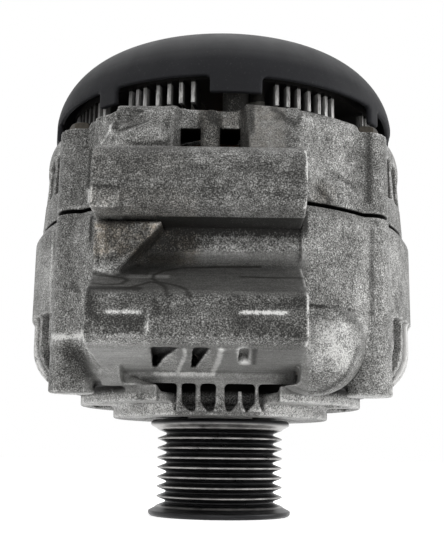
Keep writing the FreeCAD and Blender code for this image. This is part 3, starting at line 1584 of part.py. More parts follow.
def make_output_terminal():
    x, y = dim.output_stud_x, dim.output_stud_y
    plate_top = dim.positive_plate_height + dim.positive_plate_thickness
    head_low = dim.positive_plate_height - dim.stud_head_height
    head = hexagon("stud_head", dim.output_nut_flats_radius, dim.stud_head_height, x, y, head_low)
    shank_top = dim.collar_end + dim.output_nut_height + dim.output_shank_above_nut
    shank_length = shank_top - dim.positive_plate_height
    shank = cylinder("stud_shank", dim.output_shank_radius, shank_length, x, y, dim.positive_plate_height)
    free_length = dim.output_stud_end - shank_top
    free_end = cylinder("stud_free_end", dim.output_stud_radius, free_length, x, y, shank_top)
    sub_part("output_stud", fused("stud", [head, shank, free_end]))
    bore = dim.output_shank_radius + dim.seat_clearance
    collar = tube("collar", bore, dim.collar_radius, plate_top, dim.collar_end, x, y)
    sub_part("output_collar", collar)
    nut = hexagon("nut_body", dim.output_nut_flats_radius, dim.output_nut_height, x, y, dim.collar_end)
    hole = cylinder("nut_hole", bore, dim.output_nut_height, x, y, dim.collar_end)
    sub_part("output_nut", minus("terminal_nut", nut, hole))


def make_regulator():
    """Regulator moulding with its brush box, plug socket, pins and screws."""
    body = new_body("regulator")
    foot = dim.regulator_foot
    main = sketch_on(body, "main_case", "XY_Plane", foot)
    half = dim.regulator_half_width
    draw_box(main, -half, dim.regulator_start_y, half, dim.regulator_end_y)
    pad(body, main, dim.regulator_top - foot)
    box = sketch_on(body, "brush_box", "XY_Plane", foot)
    box_half = dim.brush_box_half_width
    draw_box(box, -box_half, dim.brush_box_start_y, box_half, dim.brush_channel_end_y + dim.socket_wall)
    pad(body, box, dim.brush_box_top - foot)
    socket = sketch_on(body, "plug_socket", "XY_Plane", dim.socket_bottom)
    socket_start = dim.regulator_end_y - dim.overlap
    draw_box(socket, -dim.socket_half_width, socket_start, dim.socket_half_width, dim.socket_end_y)
    pad(body, socket, dim.socket_top - dim.socket_bottom)
    cavity = sketch_on(body, "socket_cavity", "XZ_Plane", -dim.socket_end_y)
    wall = dim.socket_wall
    draw_box(
        cavity, wall - dim.socket_half_width, dim.socket_bottom + wall,
        dim.socket_half_width - wall, dim.socket_top - wall,
    )
    pocket(body, cavity, dim.socket_depth)
    channel_start = dim.brush_box_start_y - dim.overlap
    channels = sketch_on(body, "brush_channels", "XZ_Plane", -channel_start)
    channel_half = dim.brush_half_width + dim.brush_clearance
    for ring_low in (dim.lower_ring_height, dim.upper_ring_height):
        brush_low = ring_low + (dim.slip_ring_height - dim.brush_height) / 2
        low = brush_low - dim.brush_clearance
        high = brush_low + dim.brush_height + dim.brush_clearance
        draw_box(channels, -channel_half, low, channel_half, high)
    pocket(body, channels, dim.brush_channel_end_y - channel_start, forwards=False)
    holes = sketch_on(body, "case_holes", "XY_Plane", foot)
    radius = dim.small_screw_radius + dim.seat_clearance
    draw_circles(holes, [(x, y, radius) for x, y in regulator_screw_places])
    pocket(body, holes, dim.regulator_top - foot)
    small_screws("regulator_screws", regulator_screw_places, dim.rear_plate_top, dim.regulator_top)

    pins = []
    pin_start = dim.socket_end_y - dim.socket_depth
    middle = (dim.socket_bottom + dim.socket_top) / 2
    half_thickness = dim.pin_thickness / 2
    for number in range(-1, 2):
        x = dim.pin_pitch * number
        pins.append(block(
            f"pin_{number + 2}", x - dim.pin_half_width, pin_start, middle - half_thickness,
            x + dim.pin_half_width, pin_start + dim.pin_length, middle + half_thickness,
        ))
    group("socket_pins", pins)


def make_brushes():
    """Carbon brushes in their channels and the springs behind them."""
    tip = dim.slip_ring_radius + dim.brush_gap
    for name, ring_low in (("lower", dim.lower_ring_height), ("upper", dim.upper_ring_height)):
        low = ring_low + (dim.slip_ring_height - dim.brush_height) / 2
        high = low + dim.brush_height
        start = dim.slip_ring_radius - dim.brush_tip_wrap
        end = start + dim.brush_length
        half = dim.brush_half_width
        carbon = block(f"{name}_carbon", -half, start, low, half, end, high)
        curve = cylinder(f"{name}_tip_curve", tip, dim.brush_height, 0, 0, low)
        sub_part(f"{name}_brush", minus(f"{name}_shaped_carbon", carbon, curve))
        make_spring(f"{name}_brush_spring", end + dim.spring_end_gap, (low + high) / 2)


def make_spring(label, start, height):
    """Coil spring along +Y from the brush's back to the end of its channel."""
    coil = dim.spring_radius - dim.spring_wire_radius
    length = dim.brush_channel_end_y - dim.spring_end_gap - start - dim.spring_wire_radius * 2
    helix = Part.makeHelix(length.value / dim.spring_turns.value, length.value, coil.value)
    first = FreeCAD.Vector(coil.value, 0, 0)
    section = Part.Wire(Part.makeCircle(dim.spring_wire_radius.value, first, FreeCAD.Vector(0, 1, 0)))
    item = doc.addObject("Part::Feature", label)
    item.Shape = Part.Wire(helix.Edges).makePipeShell([section], True, True)
    base = FreeCAD.Vector(0, (start + dim.spring_wire_radius).value, height.value)
    turn = FreeCAD.Rotation(FreeCAD.Vector(0, 0, 1), FreeCAD.Vector(0, 1, 0))
    item.Placement = FreeCAD.Placement(base, turn)
    sub_part(label, item)


def check_and_export():
    doc.recompute()
    for item in doc.Objects:
        if "Invalid" in item.State or "Error" in item.State:
            raise RuntimeError(f"{item.Label} failed: {item.State}")
    for item in sub_parts:
        if item.Shape.isNull() or not item.Shape.isValid():
            raise RuntimeError(f"{item.Label} has no valid shape")
    os.makedirs("parts", exist_ok=True)
    for item in sub_parts:
        item.Shape.exportStep(os.path.join("parts", item.Label + ".step"))
        print(f"{item.Label}: {len(item.Shape.Solids)} solids, {item.Shape.Volume:.1f} mm3")


make_pulley()
make_pulley_fastening()
make_shaft()
make_bearing(
    "front", dim.front_bearing_height, dim.front_bearing_width, dim.shaft_radius + dim.seat_clearance,
    dim.front_bearing_radius, dim.front_ball_radius, dim.front_ball_pitch_radius, FRONT_BALL_COUNT,
)
make_bearing(
    "rear", dim.rear_bearing_height, dim.rear_bearing_width, dim.shaft_rear_radius + dim.seat_clearance,
    dim.rear_bearing_radius, dim.rear_ball_radius, dim.rear_ball_pitch_radius, REAR_BALL_COUNT,
)
make_claw_pole("front_claw_pole", False)
make_claw_pole("rear_claw_pole", True)
make_field_winding()
front_disc_low = pole_bottom - dim.fan_disc_thickness
front_blade_low = front_disc_low - dim.front_blade_height
make_fan("front_fan", front_disc_low, front_blade_low, dim.front_blade_height, FRONT_BLADE_COUNT)
make_fan("rear_fan", pole_top, pole_top + dim.fan_disc_thickness, dim.rear_blade_height, REAR_BLADE_COUNT)
make_slip_rings()
make_stator()
make_front_housing()
make_rear_housing()
make_housing_fasteners()
make_cover()
make_rectifier()
make_output_terminal()
make_regulator()
make_brushes()
check_and_export()
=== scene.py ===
import math

import bpy
import numpy as np
from mathutils import Matrix, Vector


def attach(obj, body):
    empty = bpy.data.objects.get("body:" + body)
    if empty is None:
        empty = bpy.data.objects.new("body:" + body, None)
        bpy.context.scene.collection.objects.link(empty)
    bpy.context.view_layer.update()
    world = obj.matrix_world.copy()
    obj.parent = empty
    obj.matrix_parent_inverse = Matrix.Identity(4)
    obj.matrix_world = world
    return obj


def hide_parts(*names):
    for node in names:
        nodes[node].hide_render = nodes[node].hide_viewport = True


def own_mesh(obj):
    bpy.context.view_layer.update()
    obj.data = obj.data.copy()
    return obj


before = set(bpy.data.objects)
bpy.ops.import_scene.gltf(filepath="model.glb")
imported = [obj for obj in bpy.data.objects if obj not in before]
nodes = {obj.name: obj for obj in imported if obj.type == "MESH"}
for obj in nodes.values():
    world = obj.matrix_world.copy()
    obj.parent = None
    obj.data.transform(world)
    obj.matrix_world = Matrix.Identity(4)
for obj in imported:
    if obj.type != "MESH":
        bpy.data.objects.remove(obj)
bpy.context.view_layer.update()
scene = bpy.context.scene
# The scene is in metres, and most of the numbers below are in millimetres
MM = 0.001


# Materials
class Look:
    """A node material: add() makes a node, feeds its inputs and returns it."""

    def __init__(self, name):
        self.material = bpy.data.materials.new(name)
        self.material.use_nodes = True
        self.tree = self.material.node_tree
        self.shader = self.tree.nodes["Principled BSDF"]
        self.place = self.add("ShaderNodeTexCoord").outputs["Object"]

    def add(self, kind, inputs=None, **settings):
        node = self.tree.nodes.new(kind)
        for key, value in settings.items():
            setattr(node, key, value)
        for key, value in (inputs or {}).items():
            self.feed(node.inputs[key], value)
        return node

    def feed(self, socket, value):
        if isinstance(value, bpy.types.NodeSocket):
            self.tree.links.new(value, socket)
        elif isinstance(value, tuple) and len(value) == 3 and socket.type == "RGBA":
            socket.default_value = (*value, 1)
        else:
            socket.default_value = value

    def grain(self, size_mm, detail=2.0, rough=0.5, stretch=None):
        """Noise with features of about this size; stretch lengthens them along an axis."""
        vector = self.place
        if stretch:
            scale = tuple(1 / s for s in stretch)
            vector = self.add("ShaderNodeMapping", {"Vector": vector, "Scale": scale}).outputs[0]
        inputs = {"Vector": vector, "Scale": 1 / (size_mm * MM), "Detail": detail, "Roughness": rough}
        return self.add("ShaderNodeTexNoise", inputs).outputs["Fac"]

    def spread(self, value, low, high, to_low=0.0, to_high=1.0):
        """The value stretched from low and high to to_low and to_high, and held between them."""
        made = self.add("ShaderNodeMapRange", {0: value, 1: low, 2: high, 3: to_low, 4: to_high})
        return made.outputs[0]

    def calc(self, operation, first, second=0.0, third=None):
        made = self.add("ShaderNodeMath", {0: first, 1: second}, operation=operation)
        if third is not None:
            self.feed(made.inputs[2], third)
        return made.outputs[0]

    def times(self, first, second):
        return self.calc("MULTIPLY", first, second)

    def centred(self, value, share):
        """The part of a noise above or below its middle, times a share."""
        return self.times(self.calc("SUBTRACT", value, 0.5), share)

    def ramp(self, value, stops):
        made = self.add("ShaderNodeValToRGB", {"Fac": value})
        elements = made.color_ramp.elements
        while len(elements) < len(stops):
            elements.new(0.5)
        for element, (position, colour) in zip(elements, stops):
            element.position = position
            element.color = (*colour, 1)
        return made.outputs["Color"]

    def blend(self, factor, first, second, kind="MIX"):
        made = self.add("ShaderNodeMix", data_type="RGBA", blend_type=kind)
        self.feed(made.inputs[0], factor)
        self.feed(made.inputs[6], first)
        self.feed(made.inputs[7], second)
        return made.outputs[2]

    def mark(self, name):
        """A share that set_mark() painted on the piece's points."""
        return self.add("ShaderNodeAttribute", attribute_name=name).outputs["Fac"]

    def bend(self):
        """Below a half in hollows, a half on flats, above it on outer edges."""
        return self.add("ShaderNodeNewGeometry").outputs["Pointiness"]

    def axes(self, vector):
        return self.add("ShaderNodeSeparateXYZ", {0: vector}).outputs

    def relief(self, height, depth_mm, strength=1.0, normal=None):
        inputs = {"Height": height, "Distance": depth_mm * MM, "Strength": strength}
        if normal:
            inputs["Normal"] = normal
        return self.add("ShaderNodeBump", inputs).outputs[0]

    def finish(self, **values):
        """Feed the shader's inputs, whose spaces are written as underscores, and return the material."""
        for key, value in values.items():
            self.feed(self.shader.inputs[key.replace("_", " ")], value)
        return self.material


def cast_look():
    """Sand-cast aluminium: crisp pale and dark specks over grey, with dirt, stained smears and rubbed edges,
    and painted light and shade on top: paler lit faces, painted highlights on edges, and painted shade in
    creases, recesses and the dark inside.
    """
    look = Look("cast_aluminium")
    coarse = look.grain(0.80, 1.0, 0.5)
    patch = look.grain(3.4, 3.0, 0.65)
    smooth = look.mark("smooth")
    calm = look.spread(smooth, 0.0, 1.0, 1.0, 0.35)
    specks = look.calc("ADD", look.centred(look.grain(0.42, 0.0), 0.68), look.centred(coarse, 0.20))
    cloud = look.grain(16.0, 3.0, 0.55)
    mottle = look.calc("ADD", look.centred(patch, 0.40), look.centred(cloud, 0.34))
    tone = look.calc("MULTIPLY_ADD", look.calc("ADD", specks, mottle), calm, 0.5)

    ragged = look.spread(patch, 0.30, 0.62, 0.45, 1.0)
    # Paler outer edges, found by pointiness: partly rubbed wear, partly painted highlight
    worn_and_lit_edges = look.times(look.spread(look.bend(), 0.515, 0.57), look.spread(patch, 0.35, 0.6, 0.3, 1.0))
    # Painted shade: darker in hollows and creases
    hollow_shade = look.spread(look.bend(), 0.492, 0.44)
    drawn = look.centred(look.grain(1.1, 3.0, 0.6, stretch=(7, 1, 1)), 1.0)
    # Tone shifts, in order: painted light on lit faces, rubbed places with painted highlights, worn edges
    # with painted highlights, dark smears that are partly stained and partly painted shade, painted shade,
    # the barrels' drawn lines, and painted shade in hollows
    for share, weight in (
        (look.mark("pale_and_lit"), 0.10),
        (look.times(look.mark("rub_and_highlight"), ragged), 0.30),
        (worn_and_lit_edges, 0.22),
        (look.times(look.mark("stain_and_shade"), ragged), -0.26),
        (look.mark("shade"), -0.24),
        (look.times(look.mark("barrel"), drawn), 0.14),
        (hollow_shade, -0.20),
    ):
        tone = look.calc("MULTIPLY_ADD", share, weight, tone)
    colour = look.ramp(tone, [
        (0.22, (0.016, 0.0155, 0.014)), (0.38, (0.078, 0.077, 0.073)), (0.50, (0.170, 0.169, 0.162)),
        (0.62, (0.300, 0.299, 0.290)), (0.84, (0.70, 0.695, 0.68)),
    ])

    streaks = look.spread(look.grain(1.3, 3.0, 0.6, stretch=(14, 1, 1)), 0.30, 0.70, 0.66, 1.2)
    streaked = look.blend(1.0, colour, streaks, "MULTIPLY")
    colour = look.blend(look.times(smooth, 0.8), colour, streaked)
    tide = look.times(look.mark("tide"), look.spread(coarse, 0.25, 0.5, 0.55, 0.95))
    colour = look.blend(tide, colour, (0.014, 0.013, 0.011))
    grime = look.times(look.mark("dirt"), look.spread(look.grain(2.6, 4.0, 0.65), 0.30, 0.60))
    brown = look.blend(1.0, colour, (0.70, 0.62, 0.53), "MULTIPLY")
    colour = look.blend(grime, colour, brown)
    # Painted shade: near black in the cavity, the inlets, the parting gap and the holes, where little light
    # gets in
    colour = look.blend(look.mark("inside"), colour, (0.006, 0.0055, 0.005))

    relief = look.relief(look.calc("ADD", specks, 0.5), 0.14, 0.8)
    relief = look.relief(patch, 0.25, 0.4, relief)
    # The same painted shade is also fully metallic, so that it stays dark
    metallic = look.spread(look.mark("inside"), 0.0, 1.0, 0.30, 1.0)
    rough = look.spread(tone, 0.3, 0.7, 0.68, 0.50)
    return look.finish(Base_Color=colour, Metallic=metallic, Roughness=rough, Normal=relief)


def plastic_look(name, colour, rough, grain_mm=0.5, depth_mm=0.02, dust_and_top_light=0.0, gloss=0.28):
    """Moulded plastic, paler on worn edges. The dust share gives it specks, and turns on painted light from
    above: a pale film where it faces up.
    """
    look = Look(name)
    cloud = look.grain(22.0, 3.0, 0.55)
    tint = look.blend(look.spread(cloud, 0.35, 0.68), colour, tuple(c * 1.25 for c in colour))
    if dust_and_top_light:
        specks = look.spread(look.grain(0.7, 3.0, 0.6), 0.60, 0.76)
        tint = look.blend(look.times(specks, dust_and_top_light), tint, (0.16, 0.16, 0.16))
        # Painted light from above: paler where the surface faces up
        normal = look.add("ShaderNodeNewGeometry").outputs["Normal"]
        upwards = look.spread(look.axes(normal)[2], 0.30, 0.80)
        top_light = look.times(upwards, look.spread(cloud, 0.3, 0.7, 0.6, 1.0))
        tint = look.blend(look.times(top_light, 0.75), tint, (0.105, 0.106, 0.108))
    worn = look.times(look.spread(look.bend(), 0.51, 0.60), 0.4)
    tint = look.blend(worn, tint, tuple(c * 2.5 for c in colour))
    shine = look.spread(look.grain(9.0, 4.0, 0.6), 0.3, 0.7, rough - 0.05, rough + 0.07)
    relief = look.relief(look.grain(grain_mm, 2.0, 0.5), depth_mm, 0.8)
    return look.finish(Base_Color=tint, Roughness=shine, Normal=relief, Specular_IOR_Level=gloss)


def metal_look(name, pale, dark, rough, stretch=None, grain_mm=1.2, wear=0.4, metallic=0.9):
    """Plain metal, clouded between pale and dark; stretch draws its grain into turning or rolling lines."""
    look = Look(name)
    lines = look.grain(grain_mm, 3.0, 0.6, stretch=stretch)
    cloud = look.grain(9.0, 4.0, 0.6)
    mix = look.calc("MULTIPLY_ADD", look.calc("SUBTRACT", cloud, 0.5), 0.8, lines)
    tint = look.blend(look.spread(mix, 0.35, 0.65), dark, pale)
    worn = tuple(min(1, c * 1.5) for c in pale)
    tint = look.blend(look.times(look.spread(look.bend(), 0.51, 0.58), wear), tint, worn)
    shine = look.spread(cloud, 0.3, 0.7, rough - 0.06, rough + 0.1)
    relief = look.relief(lines, 0.02, 0.7)
    return look.finish(Base_Color=tint, Metallic=metallic, Roughness=shine, Normal=relief)


def fin_look():
    """Rectifier fins: bare bright aluminium on the outer edges, with painted shade deeper in and at their
    tops under the cover, and darker along a stretch on the left.
    """
    look = Look("fin_aluminium")
    lines = look.spread(look.grain(0.5, 3.0, 0.6, stretch=(1, 1, 6)), 0.32, 0.62)
    bare = look.blend(lines, (0.17, 0.168, 0.162), (0.60, 0.595, 0.58))
    x, y, z = look.axes(look.place)
    radius = look.calc("SQRT", look.calc("MULTIPLY_ADD", x, x, look.times(y, y)))
    # Painted shade: near black deeper in than the outer edges and above the fins' tops, where the cover
    # hangs over; darker too along a stretch on the left
    outer = look.spread(radius, 57.8 * MM, 60.2 * MM)
    low = look.spread(z, 148.5 * MM, 148.8 * MM, 1.0, 0.0)
    darker_left = look.times(look.spread(x, -45 * MM, -47 * MM), look.spread(x, -60 * MM, -59 * MM))
    unshaded_share = look.times(look.times(outer, low), look.spread(darker_left, 0.0, 1.0, 1.0, 0.12))
    tint = look.blend(unshaded_share, (0.020, 0.019, 0.018), bare)
    return look.finish(Base_Color=tint, Metallic=0.4, Roughness=0.46, Normal=look.relief(lines, 0.03, 0.7))


def pulley_look():
    """Thin black coat with fine turning lines, worn to bright steel on the ridge tips."""
    look = Look("pulley_black")
    turning = look.grain(0.35, 2.0, 0.6, stretch=(40, 40, 1))
    cloud = look.grain(6.0, 4.0, 0.65)
    coat = look.blend(look.spread(turning, 0.35, 0.65), (0.012, 0.012, 0.013), (0.040, 0.040, 0.042))
    worn = look.times(look.mark("tip"), look.spread(cloud, 0.30, 0.60, 0.35, 1.0))
    tint = look.blend(worn, coat, (0.42, 0.41, 0.40))
    shine = look.spread(cloud, 0.3, 0.7, 0.26, 0.40)
    relief = look.relief(turning, 0.015, 0.6)
    return look.finish(Base_Color=tint, Metallic=0.75, Roughness=shine, Normal=relief)


# Stretch of the fine lines that grinding leaves around a shaft's axis
ROUND_LINES = (30, 30, 1)
LOOKS = {
    "cast": cast_look(),
    "moulding": plastic_look("dark_moulding", (0.020, 0.019, 0.018), 0.55),
    "amber": plastic_look("amber_bobbin", (0.20, 0.11, 0.04), 0.5),
    "rubber": plastic_look("seal_rubber", (0.016, 0.016, 0.016), 0.62, grain_mm=0.8, depth_mm=0.03),
    "carbon": plastic_look("brush_carbon", (0.05, 0.05, 0.05), 0.45, grain_mm=0.3, depth_mm=0.03),
    "fins": fin_look(),
    "steel": metal_look("turned_steel", (0.42, 0.41, 0.40), (0.24, 0.235, 0.225), 0.34, (1, 1, 0.2)),
    "plated": metal_look("plated_steel", (0.50, 0.49, 0.45), (0.24, 0.225, 0.19), 0.38,
                         grain_mm=1.0, wear=0.6),
    "oxidised": metal_look("oxidised_steel", (0.052, 0.045, 0.035), (0.012, 0.011, 0.009), 0.5,
                           grain_mm=0.9, wear=0.6, metallic=0.6),
    "fan": metal_look("coated_fan_steel", (0.045, 0.043, 0.040), (0.018, 0.017, 0.016), 0.5,
                      grain_mm=2.0, wear=0.3, metallic=0.5),
    "bearing": metal_look("ground_steel", (0.60, 0.60, 0.60), (0.48, 0.48, 0.48), 0.2, ROUND_LINES,
                          grain_mm=0.4),
    "pole": metal_look("pole_steel", (0.085, 0.080, 0.075), (0.035, 0.033, 0.031), 0.5,
                       grain_mm=2.0, wear=0.5),
    "stack": metal_look("laminated_steel", (0.11, 0.10, 0.095), (0.035, 0.033, 0.03), 0.5, (60, 60, 1),
                        grain_mm=0.5, wear=0.3),
    "copper": metal_look("enamelled_copper", (0.17, 0.070, 0.030), (0.070, 0.030, 0.014), 0.36, (1, 1, 6),
                         grain_mm=0.9, wear=0.2),
    "contact": metal_look("bright_copper", (0.78, 0.40, 0.24), (0.58, 0.28, 0.16), 0.25, ROUND_LINES,
                          grain_mm=0.4),
}
NODES_BY_LOOK = {
    "moulding": ("output_collar", "regulator", "rectifier_terminal_plate", "rectifier_spacers",
                 "rear_bearing_sleeve", "slip_ring_carrier"),
    "amber": ("coil_bobbin",),
    "rubber": ("front_bearing_seals", "rear_bearing_seals"),
    "carbon": ("lower_brush", "upper_brush"),
    "fins": ("rectifier_negative_plate", "rectifier_positive_plate"),
    "steel": ("pulley_spacer", "front_bearing_cage", "rear_bearing_cage"),
    "plated": ("pulley_washer", "pulley_nut", "cover_screws", "retainer_screws", "rectifier_screws",
               "regulator_screws", "output_stud", "output_nut", "rectifier_diodes",
               "lower_brush_spring", "upper_brush_spring"),
    "oxidised": ("rotor_shaft", "front_bearing_retainer", "through_bolts"),
    "fan": ("front_fan", "rear_fan"),
    "bearing": ("front_bearing_inner_race", "front_bearing_outer_race", "front_bearing_balls",
                "rear_bearing_inner_race", "rear_bearing_outer_race", "rear_bearing_balls"),
    "pole": ("front_claw_pole", "rear_claw_pole"),
    "stack": ("stator_core",),
    "copper": ("field_coil", "stator_winding"),
    "contact": ("lower_slip_ring", "upper_slip_ring", "socket_pins"),
}


def dress(item, material):
    item.data.materials.clear()
    item.data.materials.append(material)


def shade_smooth(item):
    item.data.polygons.foreach_set("use_smooth", [True] * len(item.data.polygons))


for look_name, node_names in NODES_BY_LOOK.items():
    for node_name in node_names:
        dress(nodes[node_name], LOOKS[look_name])
        shade_smooth(nodes[node_name])


# Copies with soft edges

# A softer region fades over this many millimetres, and points with less than this share are left alone
REGION_FADE = 2.5
LEAST_SHARE = 0.01


def new_item(name, mesh):
    item = bpy.data.objects.new(name, mesh)
    scene.collection.objects.link(item)
    return item


def copy_of(node, name, body):
    """A copy of a node's mesh that stands for it, rides on its body and takes its finish."""
    item = new_item(name, nodes[node].data.copy())
    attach(item, body)
    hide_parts(node)
    return item


def bake(item):
    """Make the item's modifiers part of its mesh."""
    graph = bpy.context.evaluated_depsgraph_get()
    mesh = bpy.data.meshes.new_from_object(item.evaluated_get(graph), depsgraph=graph)
    item.modifiers.clear()
    item.data = mesh


def add_smooth(item, rounds, group=""):
    soft = item.modifiers.new("soft", "SMOOTH")
    soft.factor = 0.5
    soft.iterations = rounds
    soft.vertex_group = group


def soften(item, voxel_mm, rounds, softer=()):
    """Give the item an even fine skin and the soft edges that a mould leaves.

    Each entry of softer is the low corner and the high corner of a region in millimetres and how many more
    rounds of smoothing it gets.
    """
    skin = item.modifiers.new("skin", "REMESH")
    skin.mode = "VOXEL"
    skin.voxel_size = voxel_mm * MM
    add_smooth(item, rounds)
    bake(item)
    for low, high, more in softer:
        share = inside(points_of(item), low, high, REGION_FADE)
        group = item.vertex_groups.new(name="softer")
        for index in np.flatnonzero(share > LEAST_SHARE):
            group.add([int(index)], float(share[index]), "REPLACE")
        add_smooth(item, more, group.name)
        bake(item)
    shade_smooth(item)


# Places on a piece

# A smear fades out at this many times its listed width
SMEAR_REACH = 1.3


def points_of(item):
    """The item's points in millimetres."""
    flat = np.zeros(len(item.data.vertices) * 3)
    item.data.vertices.foreach_get("co", flat)
    return flat.reshape(-1, 3) / MM


def move_points(item, points):
    item.data.vertices.foreach_set("co", (points * MM).astype(np.float32).ravel())
    item.data.update()


def set_mark(item, name, values):
    """Paint a share on the item's points, for Look.mark() to read."""
    made = item.data.attributes.new(name, "FLOAT", "POINT")
    made.data.foreach_set("value", np.clip(values, 0, 2).astype(np.float32))


def rise(value, low, high):
    """0 below low, 1 above high, and smooth between."""
    share = np.clip((value - low) / (high - low), 0, 1)
    return share * share * (3 - 2 * share)


def band(value, low, full, end, high):
    """0 below low and above high, 1 from full to end."""
    return rise(value, low, full) * (1 - rise(value, end, high))


def inside(points, low, high, edge):
    """1 inside the box from low to high, fading to 0 over edge millimetres outside it."""
    share = np.ones(len(points))
    for axis in range(3):
        share *= band(points[:, axis], low[axis] - edge, low[axis], high[axis], high[axis] + edge)
    return share


def zones(points, boxes):
    """Shares of boxes that may overlap: the strongest counts."""
    return np.max([inside(points, low, high, edge) * share for low, high, edge, share in boxes], axis=0)


def blob(points, middle, radii):
    """1 in the middle of an ellipsoid, fading to 0 at its skin."""
    gap = (points - np.array(middle)) / np.array(radii)
    return np.clip(1 - (gap ** 2).sum(axis=1), 0, 1) ** 1.5


def strip(points, start, end, width):
    """1 along the line from start to end, fading to 0 at width beside it."""
    start = np.array(start)
    line = np.array(end) - start
    share = np.clip((points - start) @ line / (line @ line), 0, 1)
    gap = np.linalg.norm(points - start - share[:, None] * line, axis=1)
    return np.clip(1 - (gap / width) ** 2, 0, 1) ** 1.5


def smears(points, lines):
    """Shares of lines that may cross, each as start, end, width and share: the strongest counts."""
    shares = [strip(points, start, end, width * SMEAR_REACH) * share for start, end, width, share in lines]
    return np.max(shares, axis=0)


def trails(points, paths, width):
    """1 along each path from point to point, fading to 0 at width beside it."""
    steps = [step for path in paths for step in zip(path, path[1:])]
    return np.max([strip(points, start, end, width) for start, end in steps], axis=0)


# Marks of this one specimen
INWARDS = np.array((0.0, 1.0, 0.0))
UPWARDS = np.array((0.0, 0.0, 1.0))
# Hollows left by the mould and by knocks: middle, radii and depth along +Y, all in millimetres
REAR_DENTS = [
    ((-32.5, -69, 132.0), (9.5, 9, 4.0), 2.6),
    ((-38, -66, 134), (5, 7, 5), 1.6),
    ((-24.5, -70.5, 125.0), (9.5, 8, 4.5), -1.3),
    ((21.5, -68, 133), (6, 6, 4.5), 1.2),
    ((-7.0, -91, 108.5), (26, 6, 5), 0.25),
]
FRONT_DENTS = [
    ((-46.5, -52, 51.5), (6.5, 9, 6.0), 2.2),
    ((-29.5, -91, 59.0), (8.5, 5, 2.8), 0.9),
    ((45.5, -56, 53), (5, 8, 9), 0.8),
    ((-52.5, -51, 85), (4, 6, 7), 0.3),
    ((-30, -80, 86), (5, 5, 4), 1.2),
    ((-23.5, -80, 90), (4, 5, 3), 1.0),
    ((-35.5, -80, 90), (3, 5, 5), 0.8),
    ((-33, -80, 81), (3, 5, 2.5), 0.7),
    ((25.8, -89, 71.2), (2.4, 5, 2.6), 1.8),
    ((25.8, -91.5, 63.0), (1.6, 4, 2.2), 0.8),
    ((25.6, -87.5, 54.0), (2.6, 5, 2.4), 1.6),
]
# Thin raised lines, where the mould's halves met: start, end, width and height in millimetres
FRONT_LINES = [
    ((-57, -48, 60.8), (-46.5, -55.5, 60.4), 1.2, 0.45),
    ((-46.2, -55.5, 62), (-43.5, -56, 56), 0.7, 0.35),
    ((-43.5, -56, 56), (-40.2, -52, 49.8), 0.7, 0.35),
    ((-21.2, -92, 63.5), (-21.6, -91.5, 57.5), 0.6, 0.3),
]
# The same along the vanes under the block
UNDER_LINES = [
    ((-10.6, -86, 52.9), (-11.0, -75.0, 52.0), 0.7, 0.35),
    ((-11.0, -75.0, 52.0), (-14.4, -46.4, 49.7), 0.7, 0.35),
    ((0.1, -86, 52.8), (-0.9, -65.6, 51.3), 1.0, 0.3),
    ((-0.9, -65.6, 51.3), (-2.6, -46.2, 49.4), 1.0, 0.3),
]
# Sills inside the block behind the two inlets, which keep them dark: middle, radii and height along +Z
INNER_SILLS = [((-22.6, -46.2, 55.5), (4.2, 4.0, 6.0), 6.0), ((-9.7, -46.6, 55.5), (4.2, 4.0, 6.0), 6.0)]


def carve(item, dents, lines=(), low_lines=(), sills=()):
    """Press hollows into a casting and raise thin lines on it, along Y for its front and along Z below."""
    points = points_of(item)
    shift = np.zeros(len(points))
    for middle, radii, depth in dents:
        shift += blob(points, middle, radii) * depth
    for start, end, width, height in lines:
        shift -= strip(points, start, end, width) * height
    drop = np.zeros(len(points))
    for start, end, width, height in low_lines:
        drop -= strip(points, start, end, width) * height
    for middle, radii, height in sills:
        drop += blob(points, middle, radii) * height
    move_points(item, points + shift[:, None] * INWARDS + drop[:, None] * UPWARDS)


# Dark smears on the castings: start, end and width in millimetres, and how dark. Some are stained places;
# the rest are painted shade along creases, edges and steps, under raised bars and round dents
REAR_STAINS_AND_SHADE = [
    ((16.5, -67, 136), (23.5, -69, 130.3), 1.6, 1.0),
    ((17.5, -68, 132.5), (22.5, -69, 132.5), 1.2, 0.8),
    ((31, -63, 110), (35, -61, 106.5), 1.6, 0.8),
    ((37, -60, 116.5), (45, -54, 113.4), 1.1, 0.7),
    ((-35.2, -68.2, 133.5), (-36.0, -69.2, 128.0), 1.3, 1.5),
    ((-36.0, -69.2, 128.0), (-34.6, -69.6, 125.8), 1.1, 1.7),
    ((-34.6, -69.6, 125.8), (-30.9, -69.9, 127.8), 0.9, 1.7),
    ((-30.9, -69.9, 127.8), (-26.0, -69.1, 130.6), 0.8, 1.5),
    ((-33, -67.5, 135.6), (-28, -68, 134.6), 1.2, 1.0),
    ((-34, -68.5, 131.5), (-29, -69, 131.6), 1.3, 0.7),
    ((-36.6, -69.5, 123.8), (-29.5, -71.5, 121.2), 1.0, 1.4),
    ((-29.5, -71.5, 121.2), (-18.5, -71.8, 121.6), 1.0, 1.4),
    ((-18.9, -69.0, 131), (-18.5, -71.4, 121.2), 0.8, 1.0),
    ((4, -56, 139), (9, -56, 148), 4.0, 2.0),
    ((-1, -56, 139), (4, -56, 148), 4.0, 2.0),
    ((-46.3, -51.7, 126.1), (-46.6, -52.7, 112.0), 1.0, 0.9),
    ((-39.6, -90, 101.5), (-31.6, -90.3, 100.8), 0.8, 0.7),
    ((-31.6, -90.3, 100.8), (-31.9, -86, 95.5), 0.8, 0.7),
    ((3, -91, 107.5), (23, -91, 105.5), 2.2, 0.35),
    ((-5.2, -66.5, 136.0), (-3.2, -66.8, 132.0), 2.2, 1.0),
    ((50.9, -51.3, 134), (50.5, -51.3, 109.5), 1.4, 0.9),
]
